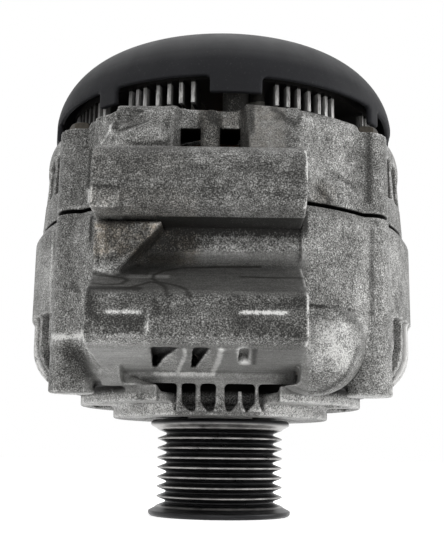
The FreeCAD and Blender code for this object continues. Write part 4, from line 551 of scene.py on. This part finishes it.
FRONT_STAINS_AND_SHADE = [
    ((-50.5, -51.3, 56.0), (-46, -51, 52.0), 3.6, 0.9),
    ((-47.0, -51, 52.5), (-43.0, -48, 47.5), 2.4, 0.9),
    ((-39.5, -89, 70.3), (-24.5, -89.2, 70.2), 1.3, 1.2),
    ((-44.0, -57.9, 100.3), (-44.5, -58.5, 92), 0.8, 1.6),
    ((-39.9, -79.6, 90), (-38.0, -79.6, 80.1), 0.8, 1.4),
    ((-38.0, -79.6, 80.1), (-39.9, -82.7, 73.8), 0.8, 1.2),
    ((-39.3, -91, 69.0), (-38.0, -91.7, 63.5), 2.2, 0.8),
    ((-38.0, -92, 62.5), (-35.0, -92, 59.5), 1.6, 0.8),
    ((-34.5, -92, 60.3), (-23.5, -92, 60.0), 2.0, 0.8),
    ((-33, -92, 58.0), (-24, -92, 57.8), 1.5, 0.8),
    ((-19.4, -91.5, 66.0), (-18.6, -91.5, 62.5), 1.3, 0.7),
    ((5, -92, 59.0), (22, -92, 57.5), 3.4, 0.45),
    ((17, -92, 65.5), (24, -91.5, 66), 2.6, 0.45),
    ((-50.5, -52.8, 78.0), (-47.5, -54.5, 75.8), 1.6, 0.8),
    ((-15.5, -79.6, 94.5), (-32.0, -79.6, 75.0), 2.2, 0.7),
    ((-38, -79.6, 80.0), (-28, -79.6, 84.5), 1.6, 0.6),
    ((-38, -79.6, 93.5), (-24, -79.6, 90.0), 2.0, 0.5),
    ((33, -56.5, 43.2), (40.0, -60.5, 48.2), 1.5, 1.0),
    ((40.0, -60.5, 48.2), (44.2, -61.6, 56.5), 1.3, 1.0),
    ((9.9, -85.8, 52.8), (10.4, -62, 51.2), 0.9, 1.0),
    ((51.0, -52.2, 98), (50.5, -52.7, 72), 1.6, 0.9),
    ((50.5, -52.7, 72), (50.5, -52.7, 45), 1.4, 0.8),
    ((28.3, -66.3, 69.8), (33.4, -63.8, 69.8), 0.6, 1.7),
    ((33.4, -63.8, 69.8), (42.0, -59.0, 69.8), 0.5, 1.4),
    ((-22.5, -92.5, 63.0), (4.0, -92.5, 63.0), 0.5, 1.2),
    ((19.8, -92.5, 63.0), (25.0, -92.5, 63.0), 0.5, 1.2),
]
# Tide marks left by liquid that ran over the lower barrel's top: the points of each line, in millimetres
TIDES = [
    [(-40.0, -79.5, 76.6), (-34.4, -79.8, 75.6), (-30.4, -80.2, 75.0), (-28.6, -82.5, 73.9),
     (-30.2, -85.8, 72.1), (-34.7, -86.7, 71.6), (-38.9, -85.4, 72.4)],
    [(12.0, -69.0, 81.3), (-2.0, -69.4, 81.1), (-13.4, -70.6, 80.4), (-18.2, -73.2, 79.0),
     (-21.0, -77.2, 76.8), (-21.2, -81.0, 74.7), (-19.3, -83.7, 73.3), (-14.0, -86.1, 71.9),
     (-10.9, -88.9, 70.3), (-9.3, -91.0, 67.8)],
    [(-28.2, -89.6, 70.2), (-24.0, -86.2, 71.9), (-21.4, -83.6, 73.3), (-18.6, -85.0, 72.5),
     (-16.8, -87.9, 71.0), (-16.2, -90.6, 68.6)],
    [(6.0, -78.0, 76.4), (16.0, -78.6, 76.0), (25.0, -78.2, 76.3)],
]
# Pale places, given as the smears are: some are rubbed wear, the rest are painted highlights on edges and
# raised lines
REAR_RUBS_AND_HIGHLIGHTS = [
    ((25.3, -87.7, 113.9), (25.5, -91.3, 106.4), 0.8, 1.7),
    ((25.5, -91.3, 106.4), (25.3, -86.2, 96.3), 0.8, 1.7),
    ((-37.4, -68.3, 133.5), (-37.9, -68.0, 127.0), 0.9, 0.9),
    ((-37.9, -68.0, 127.0), (-41.0, -64.5, 124.4), 0.9, 0.9),
    ((-17.5, -67.6, 132), (-17.2, -69.0, 122.0), 0.9, 0.5),
    ((-46.8, -53, 111.5), (-44, -56, 104.5), 1.2, 0.8),
    ((-46.1, -53.1, 111.2), (-46.0, -53.6, 107.0), 1.0, 1.0),
    ((-39.9, -90.4, 101), (-39.8, -90.6, 96.6), 0.8, 1.0),
    ((-39.8, -90.6, 96.6), (-39.1, -86.4, 94.4), 0.8, 0.8),
    ((-57, -48.4, 105.7), (-46.5, -52.6, 105.7), 0.6, 0.8),
    ((-19.0, -66, 137), (-15.0, -63.8, 131), 1.2, 0.5),
    ((4.5, -92.5, 109.4), (9.5, -92.5, 109.3), 0.5, 1.0),
    ((15.5, -92.5, 108.8), (20.0, -92.5, 108.9), 0.5, 1.0),
]
SIDE_LIPS = [
    ((67.9, -22.5, 71), (67.4, -22.2, 58)),
    ((67.4, -22.2, 58), (64.6, -21.2, 50)),
    ((71.6, -12.3, 71), (71.0, -12.1, 60)),
    ((71.0, -12.1, 60), (66.6, -11.2, 50)),
]


def side_lips(side, share):
    """Pale strips along the lips beside the outlets, partly rubbed wear and partly painted highlight, on the
    right with side 1 and on the left with side -1.
    """
    turn = np.array((side, 1, 1))
    return [(turn * start, turn * end, 1.6, share) for start, end in SIDE_LIPS]


# How strongly the raised lines are painted as highlight
RAISED_LINE_HIGHLIGHT = 1.5
FRONT_RUBS_AND_HIGHLIGHTS = [line[:3] + (RAISED_LINE_HIGHLIGHT,) for line in FRONT_LINES + UNDER_LINES]
FRONT_RUBS_AND_HIGHLIGHTS += side_lips(1, 1.3) + side_lips(-1, 1.1)
FRONT_RUBS_AND_HIGHLIGHTS += [
    ((-22, -45.9, 49.0), (-15.5, -45.9, 49.0), 1.0, 0.9),
    ((-13.5, -45.9, 49.0), (-3.5, -45.9, 49.0), 1.0, 0.9),
    ((6.3, -85.5, 52.8), (8.0, -62, 51.3), 2.1, 1.6),
    ((-33.7, -92.4, 62.5), (-23.6, -92.4, 62.6), 0.65, 1.4),
    ((5.4, -92.4, 62.9), (19.0, -92.4, 63.0), 0.65, 2.0),
    ((28.3, -66.3, 70.9), (36.0, -62.5, 70.9), 0.4, 1.0),
    ((-44.8, -56.5, 61.5), (-42.0, -56, 55.5), 0.45, 1.3),
    ((-42.0, -56, 55.5), (-38.8, -52, 49.6), 0.45, 1.2),
    ((-39.8, -79, 52.0), (-39.6, -53, 48.9), 0.8, 0.5),
    ((27.0, -67, 80), (27.5, -67.5, 56), 1.0, 0.8),
    ((25.3, -70, 80.8), (25.3, -88.4, 70.8), 0.7, 1.0),
    ((25.3, -88.4, 70.8), (25.4, -91.8, 65.5), 0.8, 1.4),
    ((25.4, -91.8, 65.5), (25.4, -91.8, 58.0), 0.8, 1.4),
    ((25.4, -91.8, 58.0), (25.3, -86.5, 53.3), 0.8, 1.4),
    ((27.5, -66.7, 53.7), (25.2, -60, 50.5), 0.9, 0.8),
    ((34.4, -68, 57.5), (38.0, -66, 60.5), 6.5, 0.45),
    ((30.5, -67, 54.5), (41.0, -64, 55), 5.0, 0.35),
    ((-50.6, -17.4, 41.2), (-40, -14.6, 40.6), 1.6, 0.7),
    ((-60.0, -41.0, 100), (-59.3, -42.5, 64), 1.2, 0.5),
]
# The two vanes between the inlets under the block, as boxes
VANES = [((-20.5, -84, 48), (-14.0, -47, 54)), ((-8.5, -84, 48), (-2.5, -47, 54))]
# Painted shade, as boxes: low corner, high corner, how far they fade, and how dark
REAR_SHADE = [
    ((-8.2, -69, 121), (-1.2, -64, 138), 1.0, 0.4),
    ((5.6, -70, 120), (9.6, -57, 137), 0.8, 0.9),
    ((-17.8, -72, 121), (-14.6, -64, 137), 0.8, 0.15),
    ((-15, -64.6, 119), (5.5, -60, 123.4), 1.0, 0.4),
    ((-20, -80.6, 93.5), (27, -60, 95.0), 0.7, 1.5),
    ((-30, -80.6, 93.5), (-20, -60, 95.0), 2.0, 0.7),
    ((-35, -70, 129.8), (-29.5, -66, 136), 1.5, 0.2),
    ((44, -60, 107), (56, -46, 126), 4.0, 0.3),
    ((-41, -93, 100), (24.5, -86, 115), 3.0, 0.32),
    ((20, -72, 121), (30, -64, 137), 4.0, 0.22),
    ((-62, -56, 107), (-47, -45, 134), 3.0, 0.15),
]
FRONT_SHADE = [
    ((-40, -90.2, 69.2), (27, -67.5, 81.5), 1.8, 0.42),
    ((-40, -93, 57), (24.5, -86, 69), 2.0, 0.35),
    ((-25, -68.5, 92.6), (27, -64, 100), 1.2, 1.0),
    ((-25, -68.5, 89.5), (-6, -64, 100), 4.0, 0.6),
    ((-42, -82, 92), (-16, -79, 99), 2.0, 0.2),
    ((-36, -79.2, 76), (-23, -65, 99), 1.0, 0.9),
    ((-24, -72, 80), (-18, -65, 99), 9.0, 0.85),
    ((-30, -68, 94.0), (27, -64, 99), 1.0, 1.5),
    ((10, -90, 48.5), (27, -45, 53.5), 4.0, 0.15),
]
# Paler stretches, given the same way: mostly painted light, on faces lit from below and from the side, with
# a few faces that are paler in themselves
REAR_PALE_AND_LIT = [
    ((-41, -87, 93.6), (26, -81.2, 96.5), 0.6, 0.3),
    ((8, -73, 120), (19, -62, 138), 2.5, 0.5),
    ((26, -70, 116), (48, -50, 134), 5.0, 0.5),
    ((-37, -73, 121.5), (-19, -68, 127), 2.0, 0.5),
]
FRONT_PALE_AND_LIT = [(low, high, 1.0, 0.8) for low, high in VANES]
FRONT_PALE_AND_LIT += [
    ((-39, -81, 76), (-17, -78, 92), 1.5, 2.0),
    ((-66, -40, 62), (-56, -15, 92), 3.0, 0.5),
    ((23, -56, 44), (30, -42, 54), 1.0, 0.8),
    ((54, -45, 50), (75, -5, 70), 2.0, 1.0),
    ((-44, -90, 48.5), (-22, -45, 53.5), 2.0, 1.0),
    ((-44, -90, 40), (28, -42.8, 51), 2.0, 0.7),
    ((27, -70, 51), (44, -58, 63), 4.0, 1.0),
    ((-8, -68.5, 84.5), (27, -64, 89), 1.0, 0.6),
    ((-58, -60, 58.5), (-47, -45, 62), 1.0, 0.5),
    ((-60, -45, 36), (-16, -10, 42.2), 1.0, 2.0),
    ((14, -50, 36), (56, -10, 42.2), 1.0, 1.8),
]
# The inlets under the block: rows of y, the left edge's x and the right edge's x, from front to back
INLETS = [
    ((-86.0, -20.6, -12.9), (-69.0, -21.3, -18.1), (-48.4, -22.8, -22.0)),
    ((-86.0, -8.2, -3.5), (-52.0, -9.8, -8.6), (-48.4, -9.8, -9.7)),
]
# The two ways through the rear casting's recess, painted dark as shade
REAR_HOLES = [((-14.4, -65, 123.4), (-7.9, -58, 130.0)), ((-1.2, -65, 123.6), (5.4, -58, 130.2))]
# The painted shade in the inlets, along Y: where it begins, is full, starts to fade and is gone
INLET_LENGTH = (-86.8, -86.2, -48.3, -47.8)
# It reaches this far past the inlets' edges, and fades by this much on either side of there
INLET_MARGIN = 0.35
INLET_FADE = 0.2
# It begins and is full this far above the block's underside, and starts to fade and is gone at these heights
INLET_MOUTH = (0.15, 0.45)
INLET_TOP = (57, 58)
# Sloping faces: a height, the place along Y where it holds, and the rise per millimetre of Y
BLOCK_UNDERSIDE = (51.7, -71.4, -0.07)
FLAT_PLANE = (80.4, -70.6, 0.545)
# How far above or below the flat's plane a point counts in full, and not at all
FLAT_SKIN = (0.5, 2.2)
# The cavity inside a casting, and the gap where the two castings meet, both painted dark as shade
CAVITY_RADII = (61.5, 64)
CAVITY_HEIGHTS = (42.5, 44.5, 136.7, 137.2)
GAP_RADII = (50, 75)
GAP_HEIGHTS = (103.55, 103.8, 104.7, 105.0)
# The block's foot is solid, so the painted shade of the cavity around it leaves this box out: its corners
# and its fade
BLOCK_SOLID = ((-40, -90, 40), (32, -42.8, 54), 0.5)
HOLE_FADE = 0.3
# Machined and worn faces, which are smoother: low corner, high corner and fade, and in lists also the share
BLOCK_FOOT = ((-45, -93, 43), (28, -40, 53.5), 0.8)
VANE_FADE = 1.0
MACHINED_FLAT = ((-40, -90.6, 69), (27, -66, 82), 1.6)
TAN_FACE = ((8, -73, 120), (19, -62, 138), 3)
SMOOTH_FACES = [((-23, -69, 82.5), (27, -64, 86.5), 0.8, 1.0), (*TAN_FACE, 0.7)]
# Brown dirt, given the same way, an oily spot as middle and radii, and the cleaner foot of the upper barrel
DIRT = [((-42, -92, 84), (-10, -64, 99), 4, 1.0), ((-42, -92, 104), (-16, -76, 118), 8, 0.15)]
DIRT_BESIDE_RECESS = [(*TAN_FACE, 0.45), ((-8, -70, 120), (9, -57, 146), 2, 0.4)]
OILY_SPOT = ((33, -62, 108), (7, 9, 6))
OIL_SHARE = 0.7
UPPER_BARREL_FOOT = ((-42, -93, 94.2), (27, -60, 103), 0.5)
CLEANED_SHARE = 0.7
# The front halves of both barrels, whose skin is drawn into faint lines
BARRELS = [((-41, -93, 54), (26, -82, 70), 2, 1.0), ((-41, -93, 95), (26, -82, 116), 2, 1.0)]
TIDE_WIDTH = 0.95
# Painted light: the right front side is a little paler, from these places along +X and -Y on, by this share
LIT_ACROSS = (30, 55)
LIT_FORWARDS = (10, 40)
LIT_SHARE = 0.5


def plane_height(y, plane):
    height, at_y, slope = plane
    return height + slope * (y - at_y)


def flat_share(points):
    """1 on the machined flat above the lower barrel, which slopes down to the front."""
    _, y, z = points.T
    off_plane = np.abs(z - plane_height(y, FLAT_PLANE))
    return inside(points, *MACHINED_FLAT) * (1 - rise(off_plane, *FLAT_SKIN))


def foot_share(points):
    """1 on the block's underside, apart from the vanes between its inlets."""
    share = inside(points, *BLOCK_FOOT)
    for low, high in VANES:
        share *= 1 - inside(points, low, high, VANE_FADE)
    return share


def dirt_share(points):
    share = np.maximum(zones(points, DIRT), blob(points, *OILY_SPOT) * OIL_SHARE)
    share *= 1 - inside(points, *UPPER_BARREL_FOOT) * CLEANED_SHARE
    return np.maximum(share, zones(points, DIRT_BESIDE_RECESS))


def inlet_share(points):
    """1 up inside an inlet, 0 on the block's underside."""
    x, y, z = points.T
    share = np.zeros(len(points))
    for rows in INLETS:
        places, lefts, rights = (np.array(row) for row in zip(*rows))
        left = np.interp(y, places, lefts) - INLET_MARGIN
        right = np.interp(y, places, rights) + INLET_MARGIN
        across = band(x, left - INLET_FADE, left + INLET_FADE, right - INLET_FADE, right + INLET_FADE)
        share = np.maximum(share, across * band(y, *INLET_LENGTH))
    climb = z - plane_height(y, BLOCK_UNDERSIDE)
    return share * rise(climb, *INLET_MOUTH) * (1 - rise(z, *INLET_TOP))


def dark_share(points, holes):
    """Painted shade: 1 where a casting lies in shade, in its cavity, the inlets, the parting gap and the
    holes.
    """
    x, y, z = points.T
    radius = np.hypot(x, y)
    cavity = (1 - rise(radius, *CAVITY_RADII)) * band(z, *CAVITY_HEIGHTS)
    cavity *= 1 - inside(points, *BLOCK_SOLID)
    gap = band(z, *GAP_HEIGHTS) * (radius > GAP_RADII[0]) * (radius < GAP_RADII[1])
    ways = [inside(points, low, high, HOLE_FADE) for low, high in holes]
    return np.maximum.reduce([cavity, inlet_share(points), gap, *ways])


def mark_casting(item, stains_and_shade, rubs_and_highlights, shade, pale_and_lit, holes=()):
    """Paint the shares that cast_look() reads."""
    points = points_of(item)
    x, y, _ = points.T
    # Painted light on the right front side
    lit_side = rise(x, *LIT_ACROSS) * rise(-y, *LIT_FORWARDS) * LIT_SHARE
    smooth = [flat_share(points), foot_share(points), zones(points, SMOOTH_FACES)]
    set_mark(item, "smooth", np.maximum.reduce(smooth))
    set_mark(item, "tide", trails(points, TIDES, TIDE_WIDTH) ** 0.5)
    set_mark(item, "barrel", zones(points, BARRELS))
    set_mark(item, "dirt", dirt_share(points))
    # Dark smears, partly stained and partly painted shade; pale places, partly rubbed and partly painted
    # highlight; painted shade; painted shade in the dark places; and painted light
    set_mark(item, "stain_and_shade", smears(points, stains_and_shade))
    set_mark(item, "rub_and_highlight", smears(points, rubs_and_highlights))
    set_mark(item, "shade", zones(points, shade))
    set_mark(item, "inside", dark_share(points, holes))
    set_mark(item, "pale_and_lit", np.maximum(lit_side, zones(points, pale_and_lit)))
    dress(item, LOOKS["cast"])


# Size of the fine skin's cells in millimetres, and rounds of smoothing
CASTING_SKIN = (0.6, 5)
COVER_SKIN = (0.7, 5)
PULLEY_SKIN = (0.3, 2)
# Regions that are softer than the rest: low corner, high corner and more rounds
GUSSET_REGIONS = [((-38, -84, 78), (-12, -64, 97), 45)]
BOSS_REGIONS = [
    ((-46, -76, 117.5), (-16, -58, 139), 10),
    ((7, -76, 117.5), (46, -52, 139), 8),
]


def front_casting():
    item = copy_of("front_housing", "front_casting", "housing")
    soften(item, *CASTING_SKIN, GUSSET_REGIONS)
    carve(item, FRONT_DENTS, FRONT_LINES, UNDER_LINES, INNER_SILLS)
    mark_casting(item, FRONT_STAINS_AND_SHADE, FRONT_RUBS_AND_HIGHLIGHTS, FRONT_SHADE, FRONT_PALE_AND_LIT)


def rear_casting():
    item = copy_of("rear_housing", "rear_casting", "housing")
    soften(item, *CASTING_SKIN, BOSS_REGIONS)
    carve(item, REAR_DENTS)
    mark_casting(item, REAR_STAINS_AND_SHADE, REAR_RUBS_AND_HIGHLIGHTS, REAR_SHADE, REAR_PALE_AND_LIT, REAR_HOLES)


def moulded_cover():
    item = copy_of("rear_cover", "moulded_cover", "housing")
    soften(item, *COVER_SKIN)
    dress(item, plastic_look("cover_black", (0.0120, 0.0123, 0.0142), 0.58, 0.45, dust_and_top_light=0.14, gloss=0.16))


# The ridge tips turn bright over these radii, and between these heights
TIP_RADII = (23.0, 23.7)
TIP_HEIGHTS = (3, 4, 33, 34)


def ribbed_pulley():
    """The pulley with its sharp edges broken and its ridge tips marked."""
    item = copy_of("pulley", "ribbed_pulley", "rotor")
    soften(item, *PULLEY_SKIN)
    x, y, z = points_of(item).T
    set_mark(item, "tip", rise(np.hypot(x, y), *TIP_RADII) * band(z, *TIP_HEIGHTS))
    dress(item, pulley_look())


def brush_spring(level):
    """The spring behind a brush, as a copy with a mesh of its own."""
    node = f"{level}_brush_spring"
    item = copy_of(node, f"{level}_spring_coil", "housing")
    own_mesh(item)


front_casting()
rear_casting()
moulded_cover()
ribbed_pulley()
for level in ("lower", "upper"):
    brush_spring(level)


# Stage, light and camera
WHITE = (1, 1, 1)
FLOOR_HALF = 3.0
FLOOR_GLOW = 0.78
WORLD_LIGHT = 0.85
WORLD_SEEN = 1.0
# Lamps: place, width and height in metres, and power in watts
LAMPS = {
    "right_lamp": ((0.85, -0.12, 0.25), (0.5, 0.8), 2.4),
    "top_lamp": ((0.0, 0.25, 0.9), (0.8, 0.5), 1.2),
    "low_lamp": ((0.1, -0.75, 0.02), (0.9, 0.3), 0.15),
}
LAMP_TARGET = Vector((0, 0, 0.09))
# The camera that was fitted to the photograph: its place in metres, and its turns in radians
CAMERA_PLACE = (0, -0.343, 0.0225)
CAMERA_TILT = 0.2
CAMERA_ROLL = 0.0133
FOCAL_PX = 877
PHOTO_HEIGHT_PX = 554
SENSOR_MM = 36
CLIP_NEAR = 0.01
CLIP_FAR = 20


def stage_floor():
    """A pale floor that keeps shadows, and glows only where the camera, a mirror or glass sees it."""
    mesh = bpy.data.meshes.new("floor")
    corners = [(x * FLOOR_HALF, y * FLOOR_HALF, 0) for x, y in ((-1, -1), (1, -1), (1, 1), (-1, 1))]
    mesh.from_pydata(corners, [], [(0, 1, 2, 3)])
    item = new_item("floor", mesh)
    look = Look("pale_floor")
    rays = look.add("ShaderNodeLightPath").outputs
    seen = look.calc("MAXIMUM", rays["Is Camera Ray"], rays["Is Glossy Ray"])
    seen = look.calc("MAXIMUM", seen, rays["Is Transmission Ray"])
    glow = look.add("ShaderNodeEmission", {"Color": WHITE, "Strength": FLOOR_GLOW})
    cloud = look.spread(look.grain(300.0, 2.0, 0.5), 0.3, 0.7)
    paint = look.blend(cloud, (0.80, 0.80, 0.80), (0.84, 0.84, 0.84))
    pale = look.add("ShaderNodeBsdfDiffuse", {"Color": paint})
    both = look.add("ShaderNodeAddShader", {0: glow.outputs[0], 1: pale.outputs[0]})
    mixed = look.add("ShaderNodeMixShader", {0: seen, 1: pale.outputs[0], 2: both.outputs[0]})
    look.feed(look.tree.nodes["Material Output"].inputs[0], mixed.outputs[0])
    look.tree.nodes.remove(look.shader)
    dress(item, look.material)


def light_world():
    """Even light from all sides, with pure white where the camera, a mirror or glass sees it."""
    world = bpy.data.worlds.new("studio")
    scene.world = world
    world.use_nodes = True
    tree = world.node_tree
    tree.nodes.clear()
    rays = tree.nodes.new("ShaderNodeLightPath").outputs
    seen = rays["Is Camera Ray"]
    for name in ("Is Glossy Ray", "Is Transmission Ray"):
        joined = tree.nodes.new("ShaderNodeMath")
        joined.operation = "MAXIMUM"
        tree.links.new(seen, joined.inputs[0])
        tree.links.new(rays[name], joined.inputs[1])
        seen = joined.outputs[0]
    mixed = tree.nodes.new("ShaderNodeMixShader")
    tree.links.new(seen, mixed.inputs[0])
    for socket, strength in ((mixed.inputs[1], WORLD_LIGHT), (mixed.inputs[2], WORLD_SEEN)):
        shade = tree.nodes.new("ShaderNodeBackground")
        shade.inputs["Color"].default_value = (*WHITE, 1)
        shade.inputs["Strength"].default_value = strength
        tree.links.new(shade.outputs[0], socket)
    output = tree.nodes.new("ShaderNodeOutputWorld")
    tree.links.new(mixed.outputs[0], output.inputs[0])


def add_lamp(name, place, size, power):
    data = bpy.data.lights.new(name, "AREA")
    data.shape = "RECTANGLE"
    data.size, data.size_y = size
    data.energy = power
    lamp = bpy.data.objects.new(name, data)
    lamp.location = place
    lamp.rotation_euler = (LAMP_TARGET - Vector(place)).to_track_quat("-Z", "Y").to_euler()
    scene.collection.objects.link(lamp)


def add_camera():
    data = bpy.data.cameras.new("camera")
    data.sensor_width = SENSOR_MM
    data.lens = FOCAL_PX / PHOTO_HEIGHT_PX * SENSOR_MM
    data.clip_start = CLIP_NEAR
    data.clip_end = CLIP_FAR
    camera = bpy.data.objects.new("camera", data)
    turn = Matrix.Rotation(math.pi / 2 + CAMERA_TILT, 4, "X") @ Matrix.Rotation(CAMERA_ROLL, 4, "Z")
    camera.matrix_world = Matrix.Translation(CAMERA_PLACE) @ turn
    scene.collection.objects.link(camera)
    scene.camera = camera


stage_floor()
light_world()
for lamp_name, (lamp_place, lamp_size, lamp_power) in LAMPS.items():
    add_lamp(lamp_name, lamp_place, lamp_size, lamp_power)
add_camera()
scene.view_settings.view_transform = "Standard"
